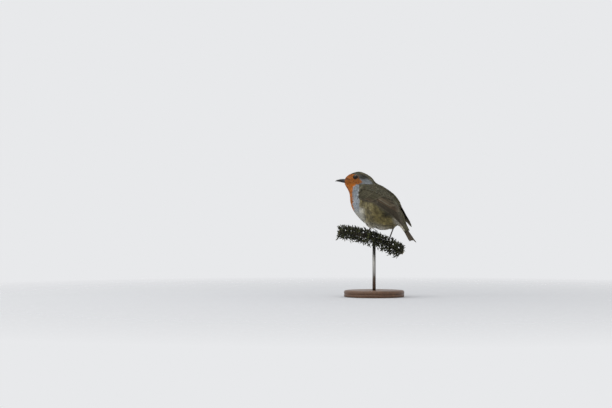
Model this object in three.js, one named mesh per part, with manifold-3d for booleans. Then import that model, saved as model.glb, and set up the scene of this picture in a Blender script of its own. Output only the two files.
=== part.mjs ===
// A European robin, life size, perched on a cut length of a spent butterfly-bush spike that a plain
// display stand holds up.
//
// Millimetres, +Z up. The bird faces -Y, its left side is +X, and the origin is the middle of the
// base's underside. The bird and its perch are modelled about the middle of the bird's body and are
// then lifted onto the stand as one group.

import * as THREE from "three";
import { mergeVertices } from "three/addons/utils/BufferGeometryUtils.js";
import Module from "manifold-3d";

const wasm = await Module();
wasm.setup();

// ---------------------------------------------------------------------------------------------
// Driving dimensions
// ---------------------------------------------------------------------------------------------

const BODY_HEIGHT = 110; // middle of the body above the floor
const GAP = 0.3; // clearance between neighbouring solids

const HEAD_TURN = 25; // degrees, to the bird's left
const BILL = { length: 11.5, rootWidth: 4.6, rootHeight: 4.5, rise: 5, buried: 3 };
const EYE_RADIUS = 3.4;
const WING = {
  length: 69.5,
  slope: 35.6, // degrees that the folded wing falls from the bend to the tip
  bend: [-14, 14],
  thickest: 2.2,
  edge: 0.8,
  sunk: 0.8, // depth in the body's feathers
  leavesBody: [38, 66], // distances from the bend over which the wing swings off the body
  tipHalfWidth: 11.4, // half the distance between the two wing tips
};
const TAIL = {
  halfWidth: 5.6,
  tipHalfWidth: 7.2,
  rootThickness: 3.6,
  tipThickness: 1.2,
  notch: 1.4,
  camber: 1,
  skew: 0.27, // how much farther the right side reaches, for each mm across
  twist: 0.15, // how much higher the right side lies at the tip, for each mm across
};
const TARSUS = { length: 25, radius: 0.8 };
const THIGH_RADIUS = 6;
const TOE = { radius: 0.62, padRadius: 1.15 };
const CLAW_RADIUS = 0.46;
const STEM = { radius: 2.2, bendRadius: 150, slope: 20, from: -46, to: 36, heading: 115 };
const FOOT_SPACING = 27.5; // along the stem, left foot ahead of right
const CAPSULE = { radius: 2.3, length: 10, whorlSpacing: 6.2, aroundStem: 5, clearance: 3.2 };
const ROD = { radius: 2, alongStem: -3 }; // the rod meets the stem between the feet
const BASE = { radius: 36, thickness: 8, rim: 1.2, socketFloor: 3 };

// Stations along the bird, from the face to the tail's root and on down the tail. Each gives the
// point on the back, the point on the belly, and the half widths nearer the back and nearer the belly.
const STATIONS = [
  { back: [-37.4, 30.6], belly: [-37.6, 27.2], widths: [1.6, 1.6] }, // face, round the bill
  { back: [-36.2, 32.8], belly: [-37.3, 25.4], widths: [3.6, 3.6] },
  { back: [-33.4, 35.6], belly: [-36.2, 23.0], widths: [6.0, 6.4] }, // lores and chin
  { back: [-27.2, 38.7], belly: [-33.6, 18.6], widths: [9.0, 10.2] }, // eyes and throat
  { back: [-19.6, 40.2], belly: [-31.6, 13.6], widths: [11.0, 13.2] }, // crown and cheeks
  { back: [-12.2, 37.9], belly: [-30.8, 7.6], widths: [11.6, 16.2] },
  { back: [-5.0, 33.4], belly: [-30.0, 0.6], widths: [12.4, 18.8] }, // back of the head, breast
  { back: [0.6, 26.8], belly: [-27.4, -6.0], widths: [15.0, 20.6] }, // nape
  { back: [9.4, 20.6], belly: [-21.4, -14.0], widths: [19.4, 21.4] }, // shoulders
  { back: [19.2, 13.8], belly: [-11.6, -22.6], widths: [20.8, 21.4] }, // broadest part of the trunk
  { back: [26.6, 5.4], belly: [0.6, -28.4], widths: [19.8, 20.0] },
  { back: [32.0, -3.2], belly: [12.6, -30.2], widths: [16.8, 16.8] }, // belly between the legs
  { back: [35.6, -10.4], belly: [22.6, -27.4], widths: [13.0, 12.0] }, // vent
  { back: [37.6, -16.6], belly: [28.6, -24.4], widths: [9.8, 8.4] }, // root of the tail
  { back: [39.8, -23.4], belly: [34.2, -26.4], widths: [7.6, 7.0] },
  { back: [45.0, -33.6], belly: [41.6, -35.2], widths: [7.6, 7.0] },
];
const LAST = STATIONS.length - 1;
const HEAD_ENDS = 5;
const NECK_ENDS = 7.4;
const TRUNK_ENDS = 14;

const COLOURS = {
  face: "#b4632a",
  brown: "#5f5a48",
  breast: "#a9683a",
  wing: "#544d42",
  tail: "#4f473d",
  thigh: "#87775a",
  bill: "#26231f",
  eye: "#0c0908",
  leg: "#3a2d29",
  claw: "#1d1916",
  perch: "#3a3a28",
  rod: "#8d8a84",
  base: "#4a3527",
};

// ---------------------------------------------------------------------------------------------
// Geometry helpers
// ---------------------------------------------------------------------------------------------

const { lerp, smoothstep, degToRad, clamp } = THREE.MathUtils;

/** Moves every vertex of a geometry to where place(vertex) says. */
function reshape(geometry, place) {
  const position = geometry.getAttribute("position");
  const vertex = new THREE.Vector3();
  for (let i = 0; i < position.count; i++) {
    vertex.fromBufferAttribute(position, i);
    const moved = place(vertex);
    position.setXYZ(i, moved.x, moved.y, moved.z);
  }
  return geometry;
}

/** A closed geometry as a solid that can be joined and cut. */
function solid(geometry) {
  const bare = geometry.index ? geometry.toNonIndexed() : geometry.clone();
  bare.deleteAttribute("normal");
  bare.deleteAttribute("uv");
  const merged = mergeVertices(bare, 1e-3);
  const made = new wasm.Manifold(
    new wasm.Mesh({
      numProp: 3,
      vertProperties: merged.getAttribute("position").array,
      triVerts: new Uint32Array(merged.index.array),
    }),
  );
  if (made.volume() < 0) throw new Error("a piece is inside out");
  return made;
}

/** The largest of a solid's separate bodies. */
function largest(made) {
  return made.decompose().reduce((a, b) => (a.volume() > b.volume() ? a : b));
}

/** A solid as a named, coloured mesh. */
function mesh(name, made, colour, roughness = 0.8, metalness = 0) {
  const { vertProperties, triVerts } = made.getMesh();
  const geometry = new THREE.BufferGeometry();
  geometry.setAttribute("position", new THREE.BufferAttribute(Float32Array.from(vertProperties), 3));
  geometry.setIndex(new THREE.BufferAttribute(Uint32Array.from(triVerts), 1));
  geometry.computeVertexNormals();
  const material = new THREE.MeshStandardMaterial({ color: colour, roughness, metalness });
  const made3d = new THREE.Mesh(geometry, material);
  made3d.name = name;
  return made3d;
}

/** A closed tube round a curve, its radius given by radiusAt(share of the length). */
function tube(curve, radiusAt, sides, steps) {
  const frames = curve.computeFrenetFrames(steps, false);
  return reshape(new THREE.CylinderGeometry(1, 1, 1, sides, steps), (v) => {
    const step = Math.round((v.y + 0.5) * steps);
    const radius = radiusAt(step / steps);
    return curve
      .getPointAt(step / steps)
      .addScaledVector(frames.binormals[step], v.x * radius)
      .addScaledVector(frames.normals[step], v.z * radius);
  });
}

/** A spindle from one point to another, blunt at its root and pointed at its tip. */
function spindle(root, tip, radius, sides = 6) {
  const line = new THREE.LineCurve3(root, tip);
  const shape = [0.45, 1, 0.16];
  return tube(line, (share) => radius * shape[Math.round(share * 2)], sides, 2);
}

/** A smooth curve through [along, value] pairs, read by its first number. */
function curveThrough(pairs) {
  return (along) => {
    const last = pairs.length - 1;
    let i = 0;
    while (i < last - 1 && along > pairs[i + 1][0]) i++;
    const at = (k) => pairs[clamp(k, 0, last)];
    const slope = (k) => (at(k + 1)[1] - at(k - 1)[1]) / (at(k + 1)[0] - at(k - 1)[0]);
    const span = at(i + 1)[0] - at(i)[0];
    const s = clamp((along - at(i)[0]) / span, 0, 1);
    return (
      (2 * s ** 3 - 3 * s ** 2 + 1) * at(i)[1] +
      (s ** 3 - 2 * s ** 2 + s) * span * slope(i) +
      (3 * s ** 2 - 2 * s ** 3) * at(i + 1)[1] +
      (s ** 3 - s ** 2) * span * slope(i + 1)
    );
  };
}

// ---------------------------------------------------------------------------------------------
// The body's form
// ---------------------------------------------------------------------------------------------

/** One long edge of the body as a curve: x holds the half width there. */
function bodyLine(edge, width) {
  return new THREE.CatmullRomCurve3(
    STATIONS.map((s) => new THREE.Vector3(s.widths[width], s[edge][0], s[edge][1])),
    false,
    "centripetal",
  );
}
const backLine = bodyLine("back", 0);
const bellyLine = bodyLine("belly", 1);

const stationPoint = (line, station) => line.getPoint(clamp(station / LAST, 0, 1));

/**
 * A point of the body before the head is turned. station counts along the stations, angle goes
 * round from the back (0) over the left side, and reach is 1 on the surface and 0 in the middle.
 */
function bodyPoint(station, angle, reach = 1) {
  const back = stationPoint(backLine, station);
  const belly = stationPoint(bellyLine, station);
  const down = (1 - Math.cos(angle)) / 2;
  const width = lerp(back.x, belly.x, smoothstep(down, 0, 1));
  const point = back.clone().lerp(belly, down).setX(width * Math.sin(angle));
  const middle = back.clone().lerp(belly, 0.5).setX(0);
  return middle.lerp(point, reach);
}

/** The outward direction of the body's surface. */
function bodyNormal(station, angle) {
  const step = 0.02;
  const along = bodyPoint(station + step, angle).sub(bodyPoint(station - step, angle));
  const round = bodyPoint(station, angle + step).sub(bodyPoint(station, angle - step));
  return round.cross(along).normalize();
}

/** The station and angle at which the body's left side lies at this y and z. */
function bodyCoordinates(y, z) {
  const side = (station) => {
    const back = stationPoint(backLine, station);
    const belly = stationPoint(bellyLine, station);
    return (belly.y - back.y) * (z - back.z) - (belly.z - back.z) * (y - back.y);
  };
  let low = 3;
  let high = LAST;
  for (let i = 0; i < 40; i++) {
    const middle = (low + high) / 2;
    if (side(low) * side(middle) > 0) low = middle;
    else high = middle;
  }
  const station = (low + high) / 2;
  const back = stationPoint(backLine, station).setX(0);
  const belly = stationPoint(bellyLine, station).setX(0);
  const line = belly.clone().sub(back);
  const down = new THREE.Vector3(0, y, z).sub(back).dot(line) / line.lengthSq();
  return { station, angle: Math.acos(clamp(1 - 2 * down, -1, 1)) };
}

const HEAD_PIVOT_Y = -9;
const HEAD_MIDDLE = new THREE.Vector3(0, -21.3, 31);
const TOWARDS_BODY = new THREE.Vector3(0, 0.55, -0.83).normalize();
const TURN_FADES = [3, 21]; // distances from the head's middle over which the turn dies out in the neck

/** Turns the head about the neck's upright axis. The turn fades out down the neck. */
function turnHead(point, fades = true) {
  const below = point.clone().sub(HEAD_MIDDLE).dot(TOWARDS_BODY);
  const share = fades ? 1 - smoothstep(below, ...TURN_FADES) : 1;
  const pivot = new THREE.Vector3(0, HEAD_PIVOT_Y, 0);
  return point
    .clone()
    .sub(pivot)
    .applyAxisAngle(new THREE.Vector3(0, 0, 1), degToRad(HEAD_TURN * share))
    .add(pivot);
}

/** A length of the body between two stations, closed by its own cross sections. */
function bodyLength(from, to, sides, rings) {
  return solid(
    reshape(new THREE.CylinderGeometry(1, 1, 1, sides, rings), (v) => {
      const station = lerp(from, to, v.y + 0.5);
      return turnHead(bodyPoint(station, Math.atan2(v.x, v.z), Math.hypot(v.x, v.z)));
    }),
  );
}

// ---------------------------------------------------------------------------------------------
// Head: bill and eyes
// ---------------------------------------------------------------------------------------------

/** The whole bill, pointing along -Y from the origin, grown by a clearance. */
function billForm(grow) {
  const height = curveThrough([[0, 1], [0.3, 0.84], [0.6, 0.58], [0.85, 0.34], [1, 0.12]]);
  const width = curveThrough([[0, 1], [0.3, 0.74], [0.6, 0.46], [0.85, 0.26], [1, 0.1]]);
  const fullLength = BILL.length + BILL.buried;
  return reshape(new THREE.CylinderGeometry(1, 1, 1, 12, 8), (v) => {
    const along = 0.5 - v.y;
    const shown = clamp((along * fullLength - BILL.buried) / BILL.length, 0, 1);
    const droop = -0.9 * shown ** 3; // the upper edge curves down to the tip
    return new THREE.Vector3(
      v.x * ((BILL.rootWidth / 2) * width(shown) + grow),
      -(along * fullLength - BILL.buried),
      v.z * ((BILL.rootHeight / 2) * height(shown) + grow) + droop,
    );
  });
}

/** Carries a geometry from the bill's own place to the front of the head. */
function atFace(geometry) {
  const face = bodyPoint(0, Math.PI / 2, 0);
  const moved = geometry.clone().rotateX(degToRad(-BILL.rise)).translate(face.x, face.y + 0.6, face.z);
  return reshape(moved, (v) => turnHead(v, false));
}

/** One half of the bill, on its side of the gape line. */
function billHalf(side) {
  const block = new THREE.BoxGeometry(20, 40, 10).translate(0, 0, side * (5 + GAP / 2) - 0.45);
  return solid(atFace(billForm(0))).intersect(solid(atFace(block)));
}

const EYE_PLACE = { y: -24.3, z: 34.6, sunk: 1.9 };

/** The middle of the left (+1) or right (-1) eye. */
function eyeMiddle(side) {
  const { station, angle } = bodyCoordinates(EYE_PLACE.y, EYE_PLACE.z);
  const middle = bodyPoint(station, angle).addScaledVector(bodyNormal(station, angle), -EYE_PLACE.sunk);
  middle.x *= side;
  return turnHead(middle, false);
}

const eyeball = (side, grow) =>
  solid(new THREE.SphereGeometry(EYE_RADIUS + grow, 14, 8).translate(...eyeMiddle(side).toArray()));

// ---------------------------------------------------------------------------------------------
// Wings
// ---------------------------------------------------------------------------------------------

// Outline of the folded wing: distance from the bend of the wing, then height of the edge above
// the line from the bend to the tip.
const WING_FRONT = -4;
const wingTop = curveThrough([
  [WING_FRONT, 6.4],
  [0, 11],
  [9, 15],
  [20, 17.4],
  [32, 18],
  [41, 15],
  [50, 11.2],
  [59, 7],
  [66, 3.2],
  [WING.length, 0.7],
]);
const wingFoot = curveThrough([
  [WING_FRONT, 3.4],
  [0, 0.2],
  [7, -4.6],
  [17, 1],
  [24, 3.6],
  [34, 4.6],
  [46, 6.4],
  [56, 4.6],
  [66, 0.8],
  [WING.length, -0.8],
]);

/** A point of the left wing: along and up run from 0 to 1, and lift is its height off the body. */
function wingPoint(along, up, lift) {
  const a = lerp(WING_FRONT, WING.length, along);
  const b = lerp(wingFoot(a), wingTop(a), up);
  const slope = degToRad(WING.slope);
  const y = WING.bend[0] + a * Math.cos(slope) + b * Math.sin(slope);
  const z = WING.bend[1] - a * Math.sin(slope) + b * Math.cos(slope);
  const { station, angle } = bodyCoordinates(y, z);
  const free = smoothstep(a, ...WING.leavesBody);
  const outward = bodyNormal(station, angle).lerp(new THREE.Vector3(1, 0, 0), free).normalize();
  return bodyPoint(station, angle)
    .lerp(new THREE.Vector3(WING.tipHalfWidth, y, z), free)
    .addScaledVector(outward, lift);
}

/** A folded wing that lies on the body, grown by a clearance. */
function wing(side, grow) {
  const across = 6;
  const lengthwise = 16;
  return solid(
    reshape(new THREE.BoxGeometry(1, 1, 1, lengthwise, across, 1), (v) => {
      const share = grow / WING.length;
      const along = lerp(-share, 1 + share, v.x + 0.5);
      const up = lerp(-grow / 8, 1 + grow / 8, side > 0 ? v.y + 0.5 : 0.5 - v.y);
      const rounded = Math.sqrt(Math.max(0, 4 * (v.y + 0.5) * (0.5 - v.y)));
      const fullness = rounded * (1 - 0.65 * smoothstep(along, 0.35, 1));
      const thickness = lerp(WING.edge, WING.thickest, fullness);
      const lift = v.z > 0 ? thickness + grow : -WING.sunk - grow;
      const point = wingPoint(clamp(along, 0, 1.02), up, lift);
      return point.setX(point.x * side);
    }),
  );
}

// ---------------------------------------------------------------------------------------------
// Tail
// ---------------------------------------------------------------------------------------------

const TAIL_ROOT = new THREE.Vector3(0, 34.6, -19.4);
const TAIL_TIP = new THREE.Vector3(0, 50, -43.7);

/** The closed tail: a flat stack of feathers, arched across and slightly notched at the tip. */
function tail(grow) {
  const along = TAIL_TIP.clone().sub(TAIL_ROOT);
  const upper = new THREE.Vector3(0, -along.z, along.y).normalize();
  return reshape(new THREE.BoxGeometry(1, 1, 1, 6, 4, 1), (v) => {
    const down = clamp(v.y + 0.5, 0, 1);
    const half = lerp(TAIL.halfWidth, TAIL.tipHalfWidth, down) + grow;
    const across = 2 * v.x;
    const twist = TAIL.twist * across * half * down;
    const short = TAIL.notch * (1 - Math.abs(across)) + TAIL.skew * across * half;
    const thick = lerp(TAIL.rootThickness, TAIL.tipThickness, down) / 2 + grow;
    return new THREE.Vector3(across * half, 0, 0)
      .addScaledVector(upper, v.z * 2 * thick - TAIL.camber * across ** 2 - twist)
      .addScaledVector(along, down * (1 - short / along.length()))
      .add(TAIL_ROOT);
  });
}

// ---------------------------------------------------------------------------------------------
// Perch
// ---------------------------------------------------------------------------------------------

const HEADING = new THREE.Vector3(
  Math.cos(degToRad(STEM.heading)),
  Math.sin(degToRad(STEM.heading)),
  0,
);
const STEM_MIDDLE = new THREE.Vector3(0, 1.8, -41.5);
const UP = new THREE.Vector3(0, 0, 1);

/** The stem's middle line: an arc in an upright plane that falls towards the bird's tail. */
class StemLine extends THREE.Curve {
  /** The slope down at a distance along the stem from its middle. */
  fall(distance) {
    return degToRad(STEM.slope) + distance / STEM.bendRadius;
  }
  pointAt(distance) {
    const [now, middle] = [this.fall(distance), this.fall(0)];
    return STEM_MIDDLE.clone()
      .addScaledVector(HEADING, STEM.bendRadius * (Math.sin(now) - Math.sin(middle)))
      .addScaledVector(UP, STEM.bendRadius * (Math.cos(now) - Math.cos(middle)));
  }
  /** The direction out of the stem at an angle round it: 0 is up, 90 the bird's left. */
  outward(distance, round) {
    const now = this.fall(distance);
    const top = HEADING.clone().multiplyScalar(Math.sin(now)).addScaledVector(UP, Math.cos(now));
    const left = new THREE.Vector3().crossVectors(HEADING, UP);
    return top.multiplyScalar(Math.cos(round)).addScaledVector(left, Math.sin(round));
  }
  getPoint(share) {
    return this.pointAt(lerp(STEM.from, STEM.to, share));
  }
}
const stemLine = new StemLine();

const stemTube = (grow) => solid(tube(stemLine, () => STEM.radius + grow, 8, 10));

// ---------------------------------------------------------------------------------------------
// Legs and feet
// ---------------------------------------------------------------------------------------------

// Each toe: how far it runs along the stem, forwards being negative, how many degrees it goes
// round the stem, and its claw's length.
const TOES = [
  { name: "inner", along: -8.5, round: 62, claw: 4.2 },
  { name: "middle", along: -8, round: 158, claw: 4.8 },
  { name: "outer", along: -1.5, round: 150, claw: 4.2 },
  { name: "hind", along: 5.5, round: -128, claw: 5.8 },
];

/** A toe's line round the stem. It runs on past the toe, from share 1, along the claw. */
class ToeLine extends THREE.Curve {
  constructor(toe, side, from, to) {
    super();
    Object.assign(this, { toe, side, from, to });
  }
  getPoint(share) {
    const at = lerp(this.from, this.to, share);
    const distance = footDistance(this.side) + this.toe.along * at;
    const round = degToRad(this.toe.round * at) * this.side;
    const knuckles = 0.5 * Math.exp(-6 * at) + 0.12 * Math.sin(at * 12) ** 2;
    const sink = Math.max(0, at - 1.12) * 2.2;
    const radius = STEM.radius + GAP + TOE.radius + 0.25 + knuckles - sink;
    return stemLine.pointAt(distance).addScaledVector(stemLine.outward(distance, round), radius);
  }
}

const footDistance = (side) => (-side * FOOT_SPACING) / 2;

/** The middle of the ball of a foot. */
function footMiddle(side) {
  const distance = footDistance(side);
  return stemLine
    .pointAt(distance)
    .addScaledVector(stemLine.outward(distance, 0), STEM.radius + GAP + TOE.padRadius + 0.2);
}

// The heels lie inside the belly's feathers, and the knees in the flanks.
const HEELS = {
  1: new THREE.Vector3(9.5, 9.4, -15.5),
  "-1": new THREE.Vector3(-9, 23.4, -19.4),
};
const KNEES = {
  1: new THREE.Vector3(15, -1, -12),
  "-1": new THREE.Vector3(-14, 9, -13),
};
const BARE_SHIN = { 1: 11, "-1": 17.5 }; // visible length of each tarsus below the feathers

/** The toes and the ball of one foot as a single solid. */
function foot(side, grow) {
  const pad = new THREE.SphereGeometry(TOE.padRadius + grow, 8, 5);
  pad.translate(...footMiddle(side).toArray());
  const thickness = (share) => (share > 0.99 ? 0.7 : 1) * TOE.radius + grow;
  return TOES.reduce(
    (made, toe) => made.add(solid(tube(new ToeLine(toe, side, 0, 1), thickness, 6, 6))),
    solid(pad),
  ).subtract(stemTube(GAP));
}

/** One claw, clear of its toe's end and tapering to a point. */
function claw(toe, side) {
  const toeLength = new ToeLine(toe, side, 0, 1).getLength();
  const from = 1 + (GAP + 0.1) / toeLength;
  const line = new ToeLine(toe, side, from, from + toe.claw / toeLength);
  const taper = (share) => lerp(CLAW_RADIUS, 0.1, share ** 1.3);
  return solid(tube(line, taper, 5, 3)).subtract(stemTube(GAP / 2));
}

/** The bare tarsus from the heel down to the ball of the foot. */
function tarsus(side, grow) {
  const ankle = footMiddle(side).addScaledVector(UP, TOE.padRadius + GAP);
  const line = new THREE.LineCurve3(HEELS[side], ankle);
  const thickness = curveThrough([[0, 1.45], [0.08, 1.5], [0.2, 1.0], [0.85, 0.95], [1, 1.15]]);
  return solid(tube(line, (share) => TARSUS.radius * thickness(share) + grow, 8, 8));
}

/** The feathered upper leg: a bulge from the flank down to where the bare tarsus comes out. */
function thigh(side, grow) {
  const shin = HEELS[side].clone().sub(footMiddle(side)).normalize();
  const hem = footMiddle(side).addScaledVector(shin, BARE_SHIN[side]);
  const outside = hem.clone().lerp(KNEES[side], 0.35).addScaledVector(shin, -2);
  const line = new THREE.QuadraticBezierCurve3(KNEES[side], outside, hem);
  const thickness = curveThrough([[0, 0.5], [0.25, 1], [0.6, 0.85], [0.85, 0.5], [1, 0.22]]);
  return solid(tube(line, (share) => THIGH_RADIUS * thickness(share) + grow, 10, 6));
}

// ---------------------------------------------------------------------------------------------
// The perch's seed heads and the stand
// ---------------------------------------------------------------------------------------------

const held = stemLine.pointAt(ROD.alongStem);
const lift = new THREE.Vector3(-held.x, -held.y, BODY_HEIGHT);

/** Points along everything that the seed heads leave room for: toes, claws, legs and the rod. */
const OBSTACLES = [
  ...[1, -1].flatMap((side) => [
    ...TOES.flatMap((toe) => new ToeLine(toe, side, 0, 1.5).getPoints(12)),
    ...new THREE.LineCurve3(footMiddle(side), HEELS[side]).getPoints(12),
  ]),
  ...new THREE.LineCurve3(held, held.clone().addScaledVector(UP, -16)).getPoints(12),
];

/** True where a seed head would run into one of the obstacles. */
function isBlocked(root, tip) {
  const head = new THREE.Line3(root, tip);
  const nearest = new THREE.Vector3();
  return OBSTACLES.some(
    (point) => head.closestPointToPoint(point, true, nearest).distanceTo(point) < CAPSULE.clearance,
  );
}

/** The stem with its whorls of seed heads, each leaning towards the spike's tip. */
function perch() {
  let made = stemTube(0);
  const whorls = Math.floor((STEM.to - STEM.from - 8) / CAPSULE.whorlSpacing);
  for (let whorl = 0; whorl <= whorls; whorl++) {
    const distance = STEM.to - 3 - whorl * CAPSULE.whorlSpacing;
    for (let i = 0; i < CAPSULE.aroundStem; i++) {
      const round = ((i + (whorl % 2) / 2) / CAPSULE.aroundStem) * 2 * Math.PI;
      const out = stemLine.outward(distance, round);
      const root = stemLine.pointAt(distance).addScaledVector(out, STEM.radius * 0.5);
      const forwards = stemLine.pointAt(distance - 1).sub(stemLine.pointAt(distance));
      const lean = forwards.multiplyScalar(0.55).add(out).normalize();
      const length = CAPSULE.length * (1 + 0.14 * Math.sin(7.3 * whorl + 2.9 * i));
      const tip = root.clone().addScaledVector(lean, length);
      if (!isBlocked(root, tip)) made = made.add(solid(spindle(root, tip, CAPSULE.radius, 5)));
    }
  }
  return made;
}

/** The upright rod, cupped under the stem. */
function rod() {
  const foot = BASE.socketFloor + GAP;
  const top = held.z + BODY_HEIGHT;
  const bar = new THREE.CylinderGeometry(ROD.radius, ROD.radius, top - foot, 16)
    .rotateX(Math.PI / 2)
    .translate(0, 0, (top + foot) / 2);
  return largest(solid(bar).subtract(stemTube(GAP).translate(lift.toArray())));
}

/** The turned base, with a socket for the rod. */
function base() {
  const { radius, thickness, rim, socketFloor } = BASE;
  const socket = ROD.radius + GAP;
  const profile = [
    [0, 0],
    [radius - rim / 2, 0],
    [radius, rim / 2],
    [radius, thickness - rim],
    [radius - rim, thickness],
    [socket, thickness],
    [socket, socketFloor],
    [0, socketFloor],
  ].map(([r, z]) => new THREE.Vector2(r, z));
  return solid(new THREE.LatheGeometry(profile, 32).rotateX(Math.PI / 2));
}

// ---------------------------------------------------------------------------------------------
// Assembly
// ---------------------------------------------------------------------------------------------

const bird = new THREE.Group();
bird.position.copy(lift);

const bill = solid(atFace(billForm(GAP)));
const sides = [
  { side: 1, name: "left" },
  { side: -1, name: "right" },
];
const wings = sides.map(({ side }) => wing(side, GAP));
const thighs = sides.map(({ side }) => thigh(side, GAP));

const head = bodyLength(0, HEAD_ENDS - 0.03, 24, 11)
  .subtract(bill)
  .subtract(eyeball(1, GAP))
  .subtract(eyeball(-1, GAP));
const neck = bodyLength(HEAD_ENDS + 0.03, NECK_ENDS - 0.03, 24, 5);
const tailSolid = solid(tail(0));
const trunk = bodyLength(NECK_ENDS + 0.03, TRUNK_ENDS, 24, 11);
const cuts = [...wings, ...thighs, ...sides.map(({ side }) => tarsus(side, GAP)), solid(tail(GAP))];

bird.add(
  mesh("head", head, COLOURS.face),
  mesh("neck", largest(wings.reduce((made, cut) => made.subtract(cut), neck)), COLOURS.breast),
  mesh("trunk", largest(cuts.reduce((made, cut) => made.subtract(cut), trunk)), COLOURS.brown),
  mesh("tail", tailSolid, COLOURS.tail),
  mesh("bill_upper", billHalf(1), COLOURS.bill, 0.4),
  mesh("bill_lower", billHalf(-1), COLOURS.bill, 0.4),
  mesh("perch_spike", perch(), COLOURS.perch),
);
for (const { side, name } of sides) {
  const leg = largest(tarsus(side, 0).subtract(foot(side, GAP)));
  bird.add(
    mesh(`eye_${name}`, eyeball(side, 0), COLOURS.eye, 0.1),
    mesh(`wing_${name}`, wing(side, 0), COLOURS.wing),
    mesh(`thigh_${name}`, largest(thigh(side, 0).subtract(tarsus(side, GAP))), COLOURS.thigh),
    mesh(`leg_${name}`, leg, COLOURS.leg, 0.5),
    mesh(`foot_${name}`, foot(side, 0), COLOURS.leg, 0.5),
    ...TOES.map((toe) => mesh(`claw_${name}_${toe.name}`, claw(toe, side), COLOURS.claw, 0.4)),
  );
}

const robin = new THREE.Group();
robin.add(
  bird,
  mesh("stand_rod", rod(), COLOURS.rod, 0.35, 1),
  mesh("stand_base", base(), COLOURS.base, 0.5),
);

export default robin;
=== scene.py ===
"""A life-size European robin on a cut flower spike and a plain display stand.

Lengths are millimetres about the middle of the bird's body unless a name says otherwise. The bird
faces -Y and its left side is +X. to_frame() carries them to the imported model's frame, in metres.
"""

import math

import bmesh
import bpy
import numpy as np
from mathutils import Matrix, Vector
from mathutils.bvhtree import BVHTree
from mathutils.kdtree import KDTree


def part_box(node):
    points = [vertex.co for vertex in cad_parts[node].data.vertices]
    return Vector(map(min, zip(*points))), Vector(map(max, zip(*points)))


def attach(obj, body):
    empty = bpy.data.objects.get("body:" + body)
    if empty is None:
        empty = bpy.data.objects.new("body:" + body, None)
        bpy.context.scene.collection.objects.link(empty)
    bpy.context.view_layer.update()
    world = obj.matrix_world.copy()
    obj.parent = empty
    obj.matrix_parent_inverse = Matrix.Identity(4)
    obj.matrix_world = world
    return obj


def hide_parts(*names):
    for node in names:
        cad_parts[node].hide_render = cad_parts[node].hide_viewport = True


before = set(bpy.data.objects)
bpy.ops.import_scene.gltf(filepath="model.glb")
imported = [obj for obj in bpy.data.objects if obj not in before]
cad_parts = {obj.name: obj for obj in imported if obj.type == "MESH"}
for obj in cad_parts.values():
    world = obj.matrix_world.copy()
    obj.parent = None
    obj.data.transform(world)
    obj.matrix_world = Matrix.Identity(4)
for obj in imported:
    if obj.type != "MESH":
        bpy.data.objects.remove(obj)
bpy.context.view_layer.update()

bl_info = {
    "name": "Perched Robin",
    "version": (1, 0, 0),
    "blender": (4, 5, 0),
    "location": "View3D > Sidebar > Robin",
    "description": "Builds a life-size robin with its feathers, perch and display stand",
    "category": "Add Mesh",
}

MM = 0.001
UP = np.array([0.0, 0.0, 1.0])
LEFT = np.array([1.0, 0.0, 0.0])

# ---- The bird's form, as the solids have it ----

# Stations from the face to the tail's root: back y and z, belly y and z, half widths above and below.
STATIONS = np.array([
    (-37.4, 30.6, -37.6, 27.2, 1.6, 1.6),
    (-36.2, 32.8, -37.3, 25.4, 3.6, 3.6),
    (-33.4, 35.6, -36.2, 23.0, 6.0, 6.4),
    (-27.2, 38.7, -33.6, 18.6, 9.0, 10.2),
    (-19.6, 40.2, -31.6, 13.6, 11.0, 13.2),
    (-12.2, 37.9, -30.8, 7.6, 11.6, 16.2),
    (-5.0, 33.4, -30.0, 0.6, 12.4, 18.8),
    (0.6, 26.8, -27.4, -6.0, 15.0, 20.6),
    (9.4, 20.6, -21.4, -14.0, 19.4, 21.4),
    (19.2, 13.8, -11.6, -22.6, 20.8, 21.4),
    (26.6, 5.4, 0.6, -28.4, 19.8, 20.0),
    (32.0, -3.2, 12.6, -30.2, 16.8, 16.8),
    (35.6, -10.4, 22.6, -27.4, 13.0, 12.0),
    (37.6, -16.6, 28.6, -24.4, 9.8, 8.4),
    (39.8, -23.4, 34.2, -26.4, 7.6, 7.0),
    (45.0, -33.6, 41.6, -35.2, 7.6, 7.0),
])
LAST = len(STATIONS) - 1
BACK = STATIONS[:, [4, 0, 1]]
BELLY = STATIONS[:, [5, 2, 3]]

HEAD_TURN = 25.0  # degrees, to the bird's left
HEAD_PIVOT = np.array([0.0, -9.0, 0.0])
HEAD_MIDDLE = np.array([0.0, -21.3, 31.0])
TOWARDS_BODY = np.array([0.0, 0.55, -0.83]) / math.hypot(0.55, 0.83)
TURN_FADES = (3.0, 21.0)

STEM_RADIUS = 2.2
STEM_BEND = 150.0
STEM_SLOPE = math.radians(20)
STEM_ENDS = (-46.0, 36.0)
STEM_HEADING = math.radians(115)
HEADING = np.array([math.cos(STEM_HEADING), math.sin(STEM_HEADING), 0.0])
STEM_MIDDLE = np.array([0.0, 1.8, -41.5])
FOOT_SPACING = 27.5
ROD_ALONG_STEM = -3.0
ROD_RADIUS = 2.0
BODY_HEIGHT = 110.0

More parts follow.
